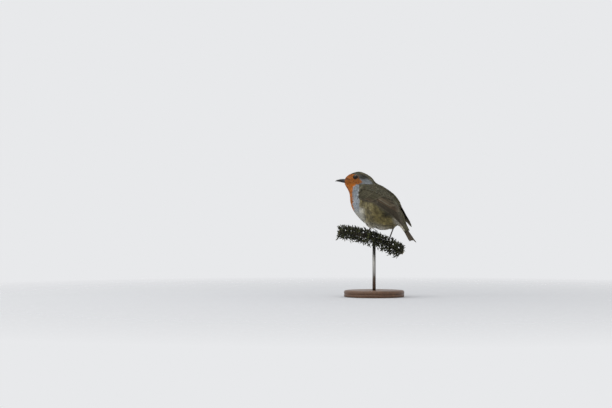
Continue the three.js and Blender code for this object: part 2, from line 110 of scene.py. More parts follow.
WING_LENGTH = 69.5
WING_SLOPE = math.radians(35.6)
WING_BEND = (-14.0, 14.0)
WING_THICKEST = 2.2
WING_EDGE = 0.8
WING_FRONT = -4.0
WING_LEAVES_BODY = (38.0, 66.0)
WING_RIM = 2.6  # how far over its upper edge the wing lifts the feathers of the back
UNDER_WING = 2.2  # the least gap under a wing in which feathers lie
WING_TIP_HALF = 11.4
WING_TOP = [
    (-4, 6.4), (0, 11), (9, 15), (20, 17.4), (32, 18), (41, 15), (50, 11.2), (59, 7), (66, 3.2),
    (69.5, 0.7),
]
WING_FOOT = [
    (-4, 3.4), (0, 0.2), (7, -4.6), (17, 1), (24, 3.6), (34, 4.6), (46, 6.4), (56, 4.6), (66, 0.8),
    (69.5, -0.8),
]

TAIL_ROOT = np.array([0.0, 34.6, -19.4])
TAIL_TIP = np.array([0.0, 50.0, -43.7])
TAIL_SKEW = 0.27  # how much farther the right side reaches, for each mm across
TAIL_TWIST = 0.15  # how much higher the right side lies at the tip, for each mm across
TAIL_NOTCH = 1.4

BILL_LENGTH = 11.5
BILL_BURIED = 3.0
BILL_HALF_WIDTH = 2.3
BILL_HALF_HEIGHT = 2.5
BILL_RISE = math.radians(5)

EYE_RADIUS = 3.4
EYE_SUNK = 2.45
EYE_PLACE = (-24.3, 34.1)
EYE_LEVEL = 0.45  # how much of the head's upward slope the eye's gaze keeps
BEHIND_FACE = 3.0  # the station from which the sides of the head and body are searched

SIDES = {"left": 1, "right": -1}
TOES = {
    "inner": (-8.5, 62, 4.2),
    "middle": (-8.0, 158, 4.8),
    "outer": (-1.5, 150, 4.2),
    "hind": (5.5, -128, 5.8),
}
TOE_RADIUS = 0.62
TOE_GAP = 0.22  # between a toe and the stem
PAD_RADIUS = 1.15
PAD_GAP = 0.25
HEELS = {1: np.array([9.5, 9.4, -15.5]), -1: np.array([-9.0, 23.4, -19.4])}
KNEES = {1: np.array([15.0, -1.0, -12.0]), -1: np.array([-14.0, 9.0, -13.0])}
BARE_SHIN = {1: 11.0, -1: 17.5}

# Where each piece's random draws start.
SEEDS = {"perch": 3, "wings": 5, "tail": 7, "coat": 11}


def lerp(a, b, share):
    return a + (b - a) * share


def smoothstep(value, low, high):
    t = np.clip((value - low) / (high - low), 0, 1)
    return t * t * (3 - 2 * t)


def unit(vectors):
    return vectors / np.maximum(np.linalg.norm(vectors, axis=-1, keepdims=True), 1e-12)


def along_line(points, station):
    """A smooth curve through points, read at a station number."""
    station = np.clip(station, 0, len(points) - 1 - 1e-9)
    i = np.floor(station).astype(int)
    t = (station - i)[..., None]
    padded = np.vstack([2 * points[0] - points[1], points, 2 * points[-1] - points[-2]])
    p0, p1, p2, p3 = (padded[i + k] for k in range(4))
    d0, d1, d2 = (
        np.sqrt(np.linalg.norm(b - a, axis=-1, keepdims=True))
        for a, b in ((p0, p1), (p1, p2), (p2, p3))
    )
    start = ((p1 - p0) / d0 - (p2 - p0) / (d0 + d1) + (p2 - p1) / d1) * d1
    end = ((p2 - p1) / d1 - (p3 - p1) / (d1 + d2) + (p3 - p2) / d2) * d1
    square, cube = 3 * (p2 - p1) - 2 * start - end, 2 * (p1 - p2) + start + end
    return p1 + start * t + square * t**2 + cube * t**3


def through(pairs, value):
    """A smooth curve through (position, height) pairs, read at positions."""
    xs, ys = (np.array(column, float) for column in zip(*pairs))
    i = np.clip(np.searchsorted(xs, value, side="right") - 1, 0, len(xs) - 2)
    rises = np.diff(ys) / np.diff(xs)
    slopes = np.concatenate([rises[:1], (ys[2:] - ys[:-2]) / (xs[2:] - xs[:-2]), rises[-1:]])
    span = xs[i + 1] - xs[i]
    s = np.clip((value - xs[i]) / span, 0, 1)
    return (
        (2 * s**3 - 3 * s**2 + 1) * ys[i]
        + (s**3 - 2 * s**2 + s) * span * slopes[i]
        + (3 * s**2 - 2 * s**3) * ys[i + 1]
        + (s**3 - s**2) * span * slopes[i + 1]
    )


def body_point(station, angle, reach=1.0):
    """A point of the body before the head is turned; angle 0 is the back and rises over the left."""
    station, angle, reach = np.broadcast_arrays(*map(np.asarray, (station, angle, reach)))
    back, belly = along_line(BACK, station), along_line(BELLY, station)
    down = (1 - np.cos(angle)) / 2
    point = lerp(back, belly, down[..., None])
    point[..., 0] = lerp(back[..., 0], belly[..., 0], smoothstep(down, 0, 1)) * np.sin(angle)
    middle = (back + belly) / 2
    middle[..., 0] = 0
    return lerp(middle, point, reach[..., None])


def face_middle():
    """The middle of the body's front end, where the bill grows."""
    return body_point(np.array([0.0]), np.array([math.pi / 2]), 0.0)[0]


def body_normal(station, angle):
    step = 0.02
    ahead = body_point(station + step, angle) - body_point(station - step, angle)
    around = body_point(station, angle + step) - body_point(station, angle - step)
    return unit(np.cross(around, ahead))


def body_coordinates(y, z, first=0.0):
    """The station and the angle, from 0 to pi, at which the body's side lies at y and z."""
    low, high = np.full(np.shape(y), first), np.full(np.shape(y), float(LAST))

    def side(station):
        back, belly = along_line(BACK, station), along_line(BELLY, station)
        return (belly[..., 1] - back[..., 1]) * (z - back[..., 2]) - (
            belly[..., 2] - back[..., 2]
        ) * (y - back[..., 1])

    at_low = side(low)
    for _ in range(26):
        middle = (low + high) / 2
        same = at_low * side(middle) > 0
        low, high = np.where(same, middle, low), np.where(same, high, middle)
    station = (low + high) / 2
    back, belly = along_line(BACK, station)[..., 1:], along_line(BELLY, station)[..., 1:]
    line = belly - back
    down = ((np.stack([y, z], -1) - back) * line).sum(-1) / (line**2).sum(-1)
    return station, np.arccos(np.clip(1 - 2 * down, -1, 1))


def body_place(points):
    """The station and the angle, from -pi to pi, of points on or near the unturned body."""
    station, _ = body_coordinates(points[:, 1], points[:, 2])
    back, belly = along_line(BACK, station), along_line(BELLY, station)
    line = (belly - back)[:, 1:]
    down = ((points - back)[:, 1:] * line).sum(1) / (line**2).sum(1)
    width = lerp(back[:, 0], belly[:, 0], smoothstep(down, 0, 1))
    return station, np.arctan2(points[:, 0] / width, 1 - 2 * down)


def turned(points, shares, towards=1):
    """Points turned about the neck's upright axis by shares of the head's turn."""
    angle = math.radians(HEAD_TURN) * shares * towards
    x, y, z = np.moveaxis(points - HEAD_PIVOT, -1, 0)
    cos, sin = np.cos(angle), np.sin(angle)
    return np.stack([x * cos - y * sin, x * sin + y * cos, z], -1) + HEAD_PIVOT


def turn_shares(points):
    """How much of the head's turn each point of the unturned body takes."""
    return 1 - smoothstep((points - HEAD_MIDDLE) @ TOWARDS_BODY, *TURN_FADES)


def turn_head(points):
    return turned(points, turn_shares(points))


def unturn_head(points):
    home = points
    for _ in range(8):
        home = turned(points, turn_shares(home), -1)
    return home


def stem_fall(distance):
    return STEM_SLOPE + distance / STEM_BEND


def stem_point(distance):
    now, middle = stem_fall(np.asarray(distance, float))[..., None], stem_fall(0.0)
    return (
        STEM_MIDDLE
        + HEADING * STEM_BEND * (np.sin(now) - math.sin(middle))
        + UP * STEM_BEND * (np.cos(now) - math.cos(middle))
    )


def stem_outward(distance, around):
    """The direction out of the stem: around is 0 at its top and rises over its left."""
    now, around = stem_fall(np.asarray(distance, float))[..., None], np.asarray(around)[..., None]
    top = HEADING * np.sin(now) + UP * np.cos(now)
    return top * np.cos(around) + np.cross(HEADING, UP) * np.sin(around)


HELD = stem_point(ROD_ALONG_STEM)
LIFT = np.array([-HELD[0], -HELD[1], BODY_HEIGHT])


def to_frame(points):
    return (np.asarray(points) + LIFT) * MM


def from_frame(points):
    return np.asarray(points) / MM - LIFT


def foot_distance(side):
    return -side * FOOT_SPACING / 2


def foot_middle(side):
    distance = foot_distance(side)
    return stem_point(distance) + stem_outward(distance, 0.0) * (STEM_RADIUS + PAD_RADIUS + PAD_GAP)


def toe_line(toe, side, at):
    """A toe's line round the stem: it starts at 0, ends at 1 and runs on along the claw."""
    along, around, _ = TOES[toe]
    distance = foot_distance(side) + along * at
    knuckles = 0.6 * np.exp(-6 * at) + 0.14 * np.sin(at * 12) ** 2
    sink = np.maximum(0, at - 1.1) * 1.9
    radius = STEM_RADIUS + TOE_RADIUS + TOE_GAP + knuckles - sink
    angle = np.radians(around * at) * side
    return stem_point(distance) + stem_outward(distance, angle) * radius[..., None]


def eye_frame(side):
    """The middle of an eye and the direction in which it looks, in the turned head."""
    station, angle = body_coordinates(np.array([EYE_PLACE[0]]), np.array([EYE_PLACE[1]]), BEHIND_FACE)
    normal = body_normal(station, angle)
    middle = body_point(station, angle) - normal * EYE_SUNK
    flip = np.array([side, 1, 1])
    one = np.ones(1)
    level = normal * np.array([1, 1, EYE_LEVEL])
    looks = turned(HEAD_PIVOT + level * flip, one) - HEAD_PIVOT
    return turned(middle * flip, one)[0], unit(looks)[0]


def wing_place(a, b, lift, side):
    """A point of a folded wing: a runs from its bend to its tip, b is up across it."""
    y = WING_BEND[0] + a * math.cos(WING_SLOPE) + b * math.sin(WING_SLOPE)
    z = WING_BEND[1] - a * math.sin(WING_SLOPE) + b * math.cos(WING_SLOPE)
    station, angle = body_coordinates(y, z, BEHIND_FACE)
    free = smoothstep(a, *WING_LEAVES_BODY)[..., None]
    outward = unit(lerp(body_normal(station, angle), np.array([1.0, 0, 0]), free))
    hanging = np.stack([np.full(np.shape(y), WING_TIP_HALF), y, z], -1)
    point = lerp(body_point(station, angle), hanging, free) + outward * lift[..., None]
    return turn_head(point * np.array([side, 1, 1]))


def wing_coordinates(points):
    y, z = points[..., 1] - WING_BEND[0], points[..., 2] - WING_BEND[1]
    cos, sin = math.cos(WING_SLOPE), math.sin(WING_SLOPE)
    return y * cos - z * sin, y * sin + z * cos


def wing_thickness(a, b):
    top, foot = through(WING_TOP, a), through(WING_FOOT, a)
    up = np.clip((b - foot) / np.maximum(top - foot, 0.1), 0, 1)
    along = np.clip((a - WING_FRONT) / (WING_LENGTH - WING_FRONT), 0, 1)
    full = np.sqrt(4 * up * (1 - up)) * (1 - 0.65 * smoothstep(along, 0.35, 1))
    front = smoothstep(a, WING_FRONT - 1, WING_FRONT + 9)
    return lerp(WING_EDGE, WING_THICKEST, full * front)


def wing_cover(home):
    """How deep points of the unturned body lie inside the folded wing's outline, how thick the wing
    is there, how far out from them it hangs, and how far below its raised upper rim they lie."""
    a, b = wing_coordinates(home)
    below_top = through(WING_TOP, a) - b
    lower = np.minimum(b - through(WING_FOOT, a), a - WING_FRONT)
    inside = np.minimum(lower, below_top)
    gap = smoothstep(a, *WING_LEAVES_BODY) * np.maximum(WING_TIP_HALF - np.abs(home[:, 0]), 0)
    return inside, wing_thickness(a, b), gap, np.minimum(lower, below_top + WING_RIM)


def tail_place(across, along, lift):
    """A point of the tail: across in mm, along from its root (0) to its tip (1)."""
    line = TAIL_TIP - TAIL_ROOT
    length = np.linalg.norm(line)
    upper = np.array([0.0, -line[2], line[1]]) / length
    down = along * (1 - TAIL_SKEW * across / length)
    lift = lift - TAIL_TWIST * across * along
    return TAIL_ROOT + line * down[..., None] + LEFT * across[..., None] + upper * lift[..., None]


# ---- Plumage: where each colour lies, the same for the skin and the feathers over it ----

FACE_REAR = [
    (18, -27.5), (21, -26.5), (24.2, -22.8), (25.3, -17.8), (26.8, -15.4), (28.5, -17), (30.5, -19.6),
    (34, -19.9), (35.6, -21.2), (36.6, -25), (37.2, -28), (38.5, -31), (41, -35),
]
BIB_HALF = [
    (-14, -6), (-10.5, 0), (-9, 6), (-6, 12), (-1, 15.4), (5, 16.4), (11, 15.2), (17, 12.4), (21, 12.2),
    (25, 13.3),
]
SHOULDER_FRONT = [(4.8, -11.5), (10.8, -12.4), (17, -14.9), (23.4, -19.1), (25, -20.5)]
CROWN_FOOT = [(-24, 36.6), (-20, 35.6), (-14, 33.8), (-9, 31), (-4, 28), (4, 22)]


def read(pairs, value):
    xs, ys = zip(*pairs)
    return np.interp(value, xs, ys)


def plumage(points, wobble=0.0):
    """Shares of orange, blue-grey, buff and white at points of the body. The rest is brown."""
    home = unturn_head(points)
    x, y, z = np.abs(home[:, 0]), home[:, 1], home[:, 2]
    station, angle = body_place(home)
    angle = np.abs(angle)
    # Orange to the rear edge of the face, and down the breast to the bib's edge.
    on_face = read(FACE_REAR, z) - y
    on_breast = read(BIB_HALF, z) - x
    inside = lerp(on_breast, on_face, smoothstep(z, 20, 24)) + wobble
    front = 1 - smoothstep(y, -14, -10)
    orange = smoothstep(inside, -0.7, 0.7) * np.where(z > 22, 1, front)
    # Blue-grey below the crown on the head's side, and in front of the shoulder.
    head_side = (1 - smoothstep(z - read(CROWN_FOOT, y) + wobble, -1.0, 0.9)) * smoothstep(x, 3, 6)
    breast_side = 1 - smoothstep(y - read(SHOULDER_FRONT, z) + wobble, -1.0, 0.8)
    grey = lerp(breast_side * smoothstep(z, -14, -3), head_side, smoothstep(z + 0.5 * wobble, 24, 25.2))
    # Buff below the wings, going white on the lower breast, down the belly's middle and at the vent.
    below = smoothstep(np.degrees(angle), 66, 84) * smoothstep(station, 5, 6.5)
    buff = below * (1 - smoothstep(z, 6, 12))
    middle = smoothstep(np.degrees(angle), 112, 158)
    white = smoothstep(-z, 0, 7) * (1 - smoothstep(y, -13, 1))
    white = np.maximum(white, middle * 0.8 * (1 - smoothstep(y, 8, 28)))
    white = np.maximum(white, 0.6 * smoothstep(y, 27, 32) * smoothstep(-z, 8, 14))
    white = np.maximum(white, 0.1 * (1 - smoothstep(y, 0, 12))) * below
    return np.stack([orange, grey, buff, white], -1)


def dusk(points):
    """How much darker the plumage is: on the mantle, the ears, neck and face, and on the rear flank, where it
    is painted shade under the wing.
    """
    home = unturn_head(points)
    x, y, z = np.abs(home[:, 0]), home[:, 1], home[:, 2]
    # Painted shade on the rear flank, under the wing.
    flank = np.exp(-(((y - 23) / 7.0) ** 2) - ((z + 13) / 5.5) ** 2) * smoothstep(x, 7, 12)
    ear = np.exp(-(((y + 14.5) / 5.5) ** 2) - ((z - 33.2) / 3.0) ** 2) * smoothstep(x, 4, 7)
    neck = 0.36 * smoothstep(z, 23, 26) * smoothstep(x, 4, 7) * smoothstep(y, -22, -18)
    mantle = 0.36 * smoothstep(y, -14, -6) * (1 - smoothstep(z, 26, 30)) * smoothstep(z, 2, 8)
    lore = np.exp(-(((z - 30.6 + 0.25 * (y + 32)) / 0.9) ** 2)) * smoothstep(-y, 28.5, 31)
    lore = lore * smoothstep(x, 2, 4)
    face = 0.4 * smoothstep(z, 23, 26.5) * smoothstep(-y, 18, 21)
    return np.clip(0.9 * flank + 0.95 * ear + np.maximum(neck, mantle) + 0.35 * lore + face, 0, 1)


# ---- Making meshes ----


def grow(bm, columns, rows, place):
    """Adds a grid whose corners lie where place says: round and along run from 0 to 1."""
    made = bmesh.ops.create_grid(bm, x_segments=columns, y_segments=rows, size=0.5)["verts"]
    flat = np.array([v.co[:2] for v in made]) + 0.5
    for vertex, point in zip(made, to_frame(place(flat[:, 0], flat[:, 1]))):
        vertex.co = point
    bmesh.ops.remove_doubles(bm, verts=made, dist=1e-7)


def tube(bm, line, radius, sides, rows):
    """Adds a closed tube along line(share), with a radius(angle, share)."""
    shares = np.linspace(0, 1, rows + 1)
    middles = line(shares)
    ways = unit(np.gradient(middles, axis=0))
    first = np.cross(ways[0], UP if abs(ways[0][2]) < 0.9 else LEFT)
    rights = [first / np.linalg.norm(first)]
    for way in ways[1:]:
        carried = rights[-1] - way * (rights[-1] @ way)
        rights.append(carried / np.linalg.norm(carried))
    rights = np.array(rights)
    ups = np.cross(rights, ways)

    def place(around, along):
        row = np.clip(np.round(along * (rows + 2)).astype(int) - 1, -1, rows + 1)
        closed = (row < 0) | (row > rows)
        row = np.clip(row, 0, rows)
        angle = around * math.tau
        r = np.where(closed, 0, radius(angle, shares[row]))[:, None]
        across, rise = rights[row], ups[row]
        return middles[row] + across * np.cos(angle)[:, None] * r + rise * np.sin(angle)[:, None] * r

    grow(bm, sides, rows + 2, place)


def spindle(sides, rows):
    """The faces of a closed spindle, with each corner's angle round it and share along it."""
    bm = bmesh.new()
    bmesh.ops.create_grid(bm, x_segments=sides, y_segments=rows, size=0.5)
    for v in bm.verts:
        angle, share = (v.co.x + 0.5) * math.tau, v.co.y + 0.5
        radius = math.sin(math.pi * share)
        v.co = (math.cos(angle) * radius, math.sin(angle) * radius, share)
    bmesh.ops.remove_doubles(bm, verts=bm.verts, dist=1e-5)
    bmesh.ops.recalc_face_normals(bm, faces=bm.faces)
    bm.verts.index_update()
    corners = np.array([v.co[:] for v in bm.verts])
    faces = [[v.index for v in face.verts] for face in bm.faces]
    bm.free()
    return np.arctan2(corners[:, 1], corners[:, 0]), corners[:, 2], faces


def shade_smooth(mesh):
    mesh.polygons.foreach_set("use_smooth", np.ones(len(mesh.polygons), bool))


def joined_copies(name, faces, points, flip=False):
    """One mesh of many copies of a pattern, from points as copies x corners x 3."""
    copies, corners = points.shape[:2]
    pattern = np.concatenate([face[::-1] if flip else face for face in faces])
    sizes = np.tile([len(face) for face in faces], copies)
    loops = (pattern[None, :] + corners * np.arange(copies)[:, None]).ravel()
    mesh = bpy.data.meshes.new(name)
    mesh.vertices.add(copies * corners)
    mesh.loops.add(len(loops))
    mesh.polygons.add(len(sizes))
    mesh.vertices.foreach_set("co", to_frame(points).astype(np.float32).ravel())
    mesh.loops.foreach_set("vertex_index", loops.astype(np.int32))
    starts = np.concatenate([[0], np.cumsum(sizes)[:-1]])
    mesh.polygons.foreach_set("loop_start", starts.astype(np.int32))
    shade_smooth(mesh)
    mesh.update(calc_edges=True)
    mesh.validate()
    return mesh


def number_attributes(mesh, **columns):
    for name, values in columns.items():
        layer = mesh.attributes.new(name, "FLOAT", "POINT")
        layer.data.foreach_set("value", np.ascontiguousarray(values, np.float32).ravel())


def mark(mesh, shares):
    """Writes the plumage's shares of each colour on a mesh."""
    layer = mesh.attributes.new("markings", "FLOAT_COLOR", "POINT")
    layer.data.foreach_set("color", np.ascontiguousarray(shares, np.float32).ravel())


def bake_map(mesh, per_vertex):
    """Writes the map OFBake from a place in the unit square for each vertex."""
    loops = np.empty(len(mesh.loops), np.int32)
    mesh.loops.foreach_get("vertex_index", loops)
    layer = mesh.uv_layers.new(name="OFBake")
    layer.data.foreach_set("uv", per_vertex[loops].astype(np.float32).ravel())


def fill_mesh(mesh, bm):
    bmesh.ops.recalc_face_normals(bm, faces=bm.faces)
    bm.to_mesh(mesh)
    bm.free()
    shade_smooth(mesh)
    return mesh


def finished_mesh(name, bm):
    return fill_mesh(bpy.data.meshes.new(name), bm)


def fused(name, bm, voxel, smoothing):
    """Closed shapes that run into each other, made one smooth surface."""
    rough = bpy.data.objects.new(name + "_rough", finished_mesh(name + "_rough", bm))
    bpy.context.scene.collection.objects.link(rough)
    remesh = rough.modifiers.new("one surface", "REMESH")
    remesh.mode = "VOXEL"
    remesh.voxel_size = voxel * MM
    smooth = rough.modifiers.new("smooth", "SMOOTH")
    smooth.factor = 0.5
    smooth.iterations = smoothing
    graph = bpy.context.evaluated_depsgraph_get()
    mesh = bpy.data.meshes.new_from_object(rough.evaluated_get(graph))
    mesh.name = name
    old = rough.data
    bpy.data.objects.remove(rough)
    bpy.data.meshes.remove(old)
    shade_smooth(mesh)
    return mesh


def mesh_points(mesh):
    points = np.empty(len(mesh.vertices) * 3, np.float32)
    mesh.vertices.foreach_get("co", points)
    return from_frame(points.reshape(-1, 3).astype(float))


def set_mesh_points(mesh, points):
    mesh.vertices.foreach_set("co", to_frame(points).astype(np.float32).ravel())
    mesh.update()


def add_piece(mesh, material, nodes=()):
    """Shows a mesh as a piece of the bird or its stand, under the mesh's own name."""
    mesh.materials.clear()
    mesh.materials.append(material)
    piece = bpy.data.objects.new(mesh.name, mesh)
    bpy.context.scene.collection.objects.link(piece)
    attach(piece, "root")
    if nodes:
        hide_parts(*nodes)


# ---- Materials ----


def hex_colour(text):
    """An sRGB hex value as linear RGBA."""
    channels = [int(text[i : i + 2], 16) / 255 for i in (1, 3, 5)]
    return tuple(c / 12.92 if c <= 0.04045 else ((c + 0.055) / 1.055) ** 2.4 for c in channels) + (1.0,)


def feed(made, inputs):
    """Fills a node's inputs: each with a value, or from a socket, or from a node's first output."""
    links = made.id_data.links
    for key, value in inputs.items():
        numbered = isinstance(key, int)
        socket = made.inputs[key] if numbered else next(s for s in made.inputs if s.enabled and s.name == key)
        if isinstance(value, bpy.types.Node):
            value = next(s for s in value.outputs if s.enabled)
        if isinstance(value, bpy.types.NodeSocket):
            links.new(value, socket)
        else:
            socket.default_value = value


def node(tree, kind, inputs=None, **settings):
    """Adds a node with its settings and its links."""
    made = tree.nodes.new("ShaderNode" + kind)
    for key, value in settings.items():
        setattr(made, key, value)
    feed(made, inputs or {})
    return made


def new_material(name, **finish):
    """A material with one surface shader, whose even values are given by their names."""
    material = bpy.data.materials.new(name)
    material.use_nodes = True
    tree = material.node_tree
    tree.nodes.clear()
    surface = node(tree, "BsdfPrincipled", {key.replace("_", " "): v for key, v in finish.items()})
    node(tree, "OutputMaterial", {"Surface": surface})
    return material, tree, surface, node(tree, "TexCoord").outputs["Object"]


def colour(name):
    return tuple(getattr(bpy.context.scene.robin_colours, name))


BLEND = {"data_type": "RGBA"}
TINT = {"data_type": "RGBA", "blend_type": "MULTIPLY"}


def plumage_colour(tree, place):
    """Brown, buff, white, blue-grey and orange laid over each other by the shares on the mesh."""
    marks = node(tree, "Attribute", attribute_name="markings")
    parts = node(tree, "SeparateColor", {"Color": marks.outputs["Color"]})
    # Neighbouring feathers, 4 mm apart, differ a little in shade.
    patches = node(tree, "TexNoise", {"Vector": place, "Scale": 250.0, "Detail": 3.0})
    share = node(tree, "MapRange", {"Value": patches, "From Min": 0.35, "From Max": 0.65})
    laid = node(tree, "Mix", {"Factor": share, "A": colour("back"), "B": colour("back_warm")}, **BLEND)
    flank = node(tree, "Mix", {"Factor": share, "A": colour("flank"), "B": colour("flank_deep")}, **BLEND)
    face = node(tree, "Mix", {"Factor": share, "A": colour("orange"), "B": colour("orange_deep")}, **BLEND)
    for amount, over in (
        (parts.outputs["Blue"], flank),
        (marks.outputs["Alpha"], colour("belly")),
        (parts.outputs["Green"], colour("grey")),
        (parts.outputs["Red"], face),
    ):
        laid = node(tree, "Mix", {"Factor": amount, "A": laid, "B": over}, **BLEND)
    # Darker plumage, and painted shade on the rear flank under the wing.
    shade = node(tree, "Attribute", attribute_name="dusk")
    return node(tree, "Mix", {"Factor": shade, "A": laid, "B": colour("dusk")}, **TINT)


def skin_material():
    """Thin skin under down. It shows only as the shaded depth between the feathers' tips."""
    material, tree, surface, place = new_material("skin_under_down", Roughness=0.85)
    shade = {"Factor": 1.0, "A": plumage_colour(tree, place), "B": hex_colour("#ddd9d4")}
    dark = node(tree, "Mix", shade, **TINT)
    lid = node(tree, "Attribute", attribute_name="lid")
    # Tufts of down half a millimetre across.
    down = node(tree, "TexNoise", {"Vector": place, "Scale": 1800.0})
    feed(surface, {
        "Base Color": node(tree, "Mix", {"Factor": lid, "A": dark, "B": colour("eye_ring")}, **BLEND),
        "Normal": node(tree, "Bump", {"Height": down, "Strength": 0.5, "Distance": 0.0003}),
    })
    return material


def contour_feather_material():
    """Body feathers: loose keratin barbs, matte, with a faint soft sheen at grazing angles."""
    finish = {"Roughness": 0.8, "Specular_IOR_Level": 0.25, "Sheen_Weight": 0.1, "Sheen_Roughness": 0.5}
    material, tree, surface, place = new_material("contour_feather_barbs", **finish)
    light = None
    # Every feather's root is grey down, its tuft has its own tone, darker towards a ragged tuft's edge
    # as painted shade between tufts, and its barbs differ a little.
    for name, low, high in (("along", 0.45, 1.06), ("tone", 0.6, 1.3), ("strand", 0.8, 1.17)):
        share = node(tree, "Attribute", attribute_name=name)
        far = 0.6 if name == "along" else 1.0
        level = node(tree, "MapRange", {"Value": share, "From Max": far, "To Min": low, "To Max": high})
        light = node(tree, "Math", {0: light, 1: level}, operation="MULTIPLY") if light else level
    tinted = node(tree, "Mix", {"Factor": 1.0, "A": plumage_colour(tree, place), "B": light}, **TINT)
    feed(surface, {"Base Color": tinted})
    return material


def vane_material(name, web, fringe_share):
    """Flight feathers and coverts: barbs zipped into a smooth web, satin, with a darker shaft and
    paler fringes where the web's edge wears thin."""
    material, tree, surface, place = new_material(name, Roughness=0.65, Specular_IOR_Level=0.12)
    along, across, tone, warm, cover = (
        node(tree, "Attribute", attribute_name=key) for key in ("along", "across", "tone", "warm", "cover")
    )
    off = node(tree, "Math", {0: across}, operation="ABSOLUTE")
    base = node(tree, "Mix", {"Factor": warm, "A": colour(web), "B": colour("wing_warm")}, **BLEND)
    base = node(tree, "Mix", {"Factor": cover, "A": base, "B": colour("wing_covert")}, **BLEND)
    inner = node(tree, "MapRange", {"Value": across, "From Min": 0.1, "From Max": -0.3, "To Max": 0.75})
    base = node(tree, "Mix", {"Factor": inner, "A": base, "B": colour("wing_dark")}, **BLEND)
    edge = node(tree, "MapRange", {"Value": across, "From Min": 0.6, "From Max": 0.9, "To Max": fringe_share})
    tip = node(tree, "MapRange", {"Value": along, "From Min": 0.88, "To Max": fringe_share * 0.8})
    pale = node(tree, "Math", {0: edge, 1: tip}, operation="MAXIMUM")
    base = node(tree, "Mix", {"Factor": pale, "A": base, "B": colour("wing_fringe")}, **BLEND)
    shaft = node(tree, "MapRange", {"Value": off, "From Min": 0.1, "From Max": 0.03, "To Max": 0.75})
    base = node(tree, "Mix", {"Factor": shaft, "A": base, "B": hex_colour("#201b16")}, **BLEND)
    level = node(tree, "MapRange", {"Value": tone, "To Min": 0.8, "To Max": 1.2})
    # Wear comes in patches 3 mm across.
    mottle = node(tree, "TexNoise", {"Vector": place, "Scale": 350.0, "Detail": 3.0})
    wear = {"Value": mottle, "From Min": 0.3, "From Max": 0.7, "To Min": 0.85, "To Max": 1.15}
    worn = node(tree, "MapRange", wear)
    level = node(tree, "Math", {0: level, 1: worn}, operation="MULTIPLY")
    # Barbs lie about 0.3 mm apart on so small a wing; the wave is drawn at 0.5 mm so that it shows.
    slant = node(tree, "Math", {0: off, 1: 0.12, 2: along}, operation="MULTIPLY_ADD")
    barbs = node(tree, "Math", {0: slant, 1: 420.0}, operation="MULTIPLY")
    wave = node(tree, "Math", {0: barbs}, operation="SINE")
    feed(surface, {
        "Base Color": node(tree, "Mix", {"Factor": 1.0, "A": base, "B": level}, **TINT),
        "Normal": node(tree, "Bump", {"Height": wave, "Strength": 0.25, "Distance": 0.00008}),
    })
    return material


def bill_material():
    """Keratin sheath grown over bone: smooth, satin, almost black, with a painted blue-grey sheen at
    the root, and worn a little paler in patches."""
    material, tree, surface, place = new_material("bill_keratin_sheath", IOR=1.5, Specular_IOR_Level=0.2)
    shown, pit = (node(tree, "Attribute", attribute_name=key) for key in ("shown", "pit"))
    # Growth flecks of the horn, just under 1 mm.
    grain = node(tree, "TexNoise", {"Vector": place, "Scale": 1200.0, "Detail": 4.0})
    far = node(tree, "MapRange", {"Value": shown, "From Max": 0.45})
    # Blue-grey towards the root: a painted sheen.
    horn = node(tree, "Mix", {"Factor": far, "A": colour("painted_sheen_at_bill_root"), "B": colour("bill")}, **BLEND)
    worn = node(tree, "MapRange", {"Value": grain, "From Min": 0.5, "From Max": 0.75, "To Max": 0.3})
    horn = node(tree, "Mix", {"Factor": worn, "A": horn, "B": hex_colour("#4a443c")}, **BLEND)
    feed(surface, {
        # The nostril is painted near black: painted shade inside its opening.
        "Base Color": node(tree, "Mix", {"Factor": pit, "A": horn, "B": hex_colour("#060505")}, **BLEND),
        "Roughness": node(tree, "MapRange", {"Value": grain, "To Min": 0.34, "To Max": 0.52}),
        "Normal": node(tree, "Bump", {"Height": grain, "Strength": 0.15, "Distance": 0.0001}),
    })
    return material


def eye_material():
    """A living eye: a wet clear cornea over a dark brown iris and a black pupil."""
    material, tree, surface, place = new_material("wet_cornea_over_dark_iris", Roughness=0.05, IOR=1.34)
    out = node(tree, "Attribute", attribute_name="out")
    fibres = node(tree, "TexNoise", {"Vector": place, "Scale": 2200.0})
    browns = {"Factor": fibres, "A": hex_colour("#0b0604"), "B": hex_colour("#22120a")}
    iris = node(tree, "Mix", browns, **BLEND)
    pupil = node(tree, "MapRange", {"Value": out, "From Min": 0.83, "From Max": 0.87})
    pupil = {"Factor": pupil, "A": iris, "B": hex_colour("#000000")}
    feed(surface, {"Base Color": node(tree, "Mix", pupil, **BLEND)})
    return material


def leg_material():
    """Horny scutes over the shin and toes: thin hard scales, satin, dark brown with paler edges."""
    material, tree, surface, place = new_material("leg_scutes", Roughness=0.55, Specular_IOR_Level=0.35)
    # The small scales between the scutes are about 0.4 mm across.
    cells = node(tree, "TexVoronoi", {"Vector": place, "Scale": 2200.0})
    mottle = node(tree, "TexNoise", {"Vector": place, "Scale": 500.0, "Detail": 3.0})
    skin = node(tree, "Mix", {"Factor": mottle, "A": colour("leg"), "B": hex_colour("#1a1412")}, **BLEND)
    rim = node(tree, "MapRange", {"Value": cells, "From Max": 0.7, "To Max": 0.6})
    feed(surface, {
        "Base Color": node(tree, "Mix", {"Factor": rim, "A": skin, "B": hex_colour("#43342d")}, **BLEND),
        "Normal": node(tree, "Bump", {"Height": cells, "Strength": 0.35, "Distance": 0.00012}, invert=True),
    })
    return material


def claw_material():
    """Claw horn: a hard smooth sheath, glossier towards its worn point."""
    material, tree, surface, place = new_material("claw_horn_sheath")
    along = node(tree, "Attribute", attribute_name="along")
    # Streaks 0.7 mm long.
    streaks = node(tree, "TexNoise", {"Vector": place, "Scale": 1500.0})
    horn = node(tree, "Mix", {"Factor": streaks, "A": colour("claw"), "B": hex_colour("#30261f")}, **BLEND)
    feed(surface, {
        "Base Color": horn,
        "Roughness": node(tree, "MapRange", {"Value": along, "To Min": 0.45, "To Max": 0.3}),
    })
    return material


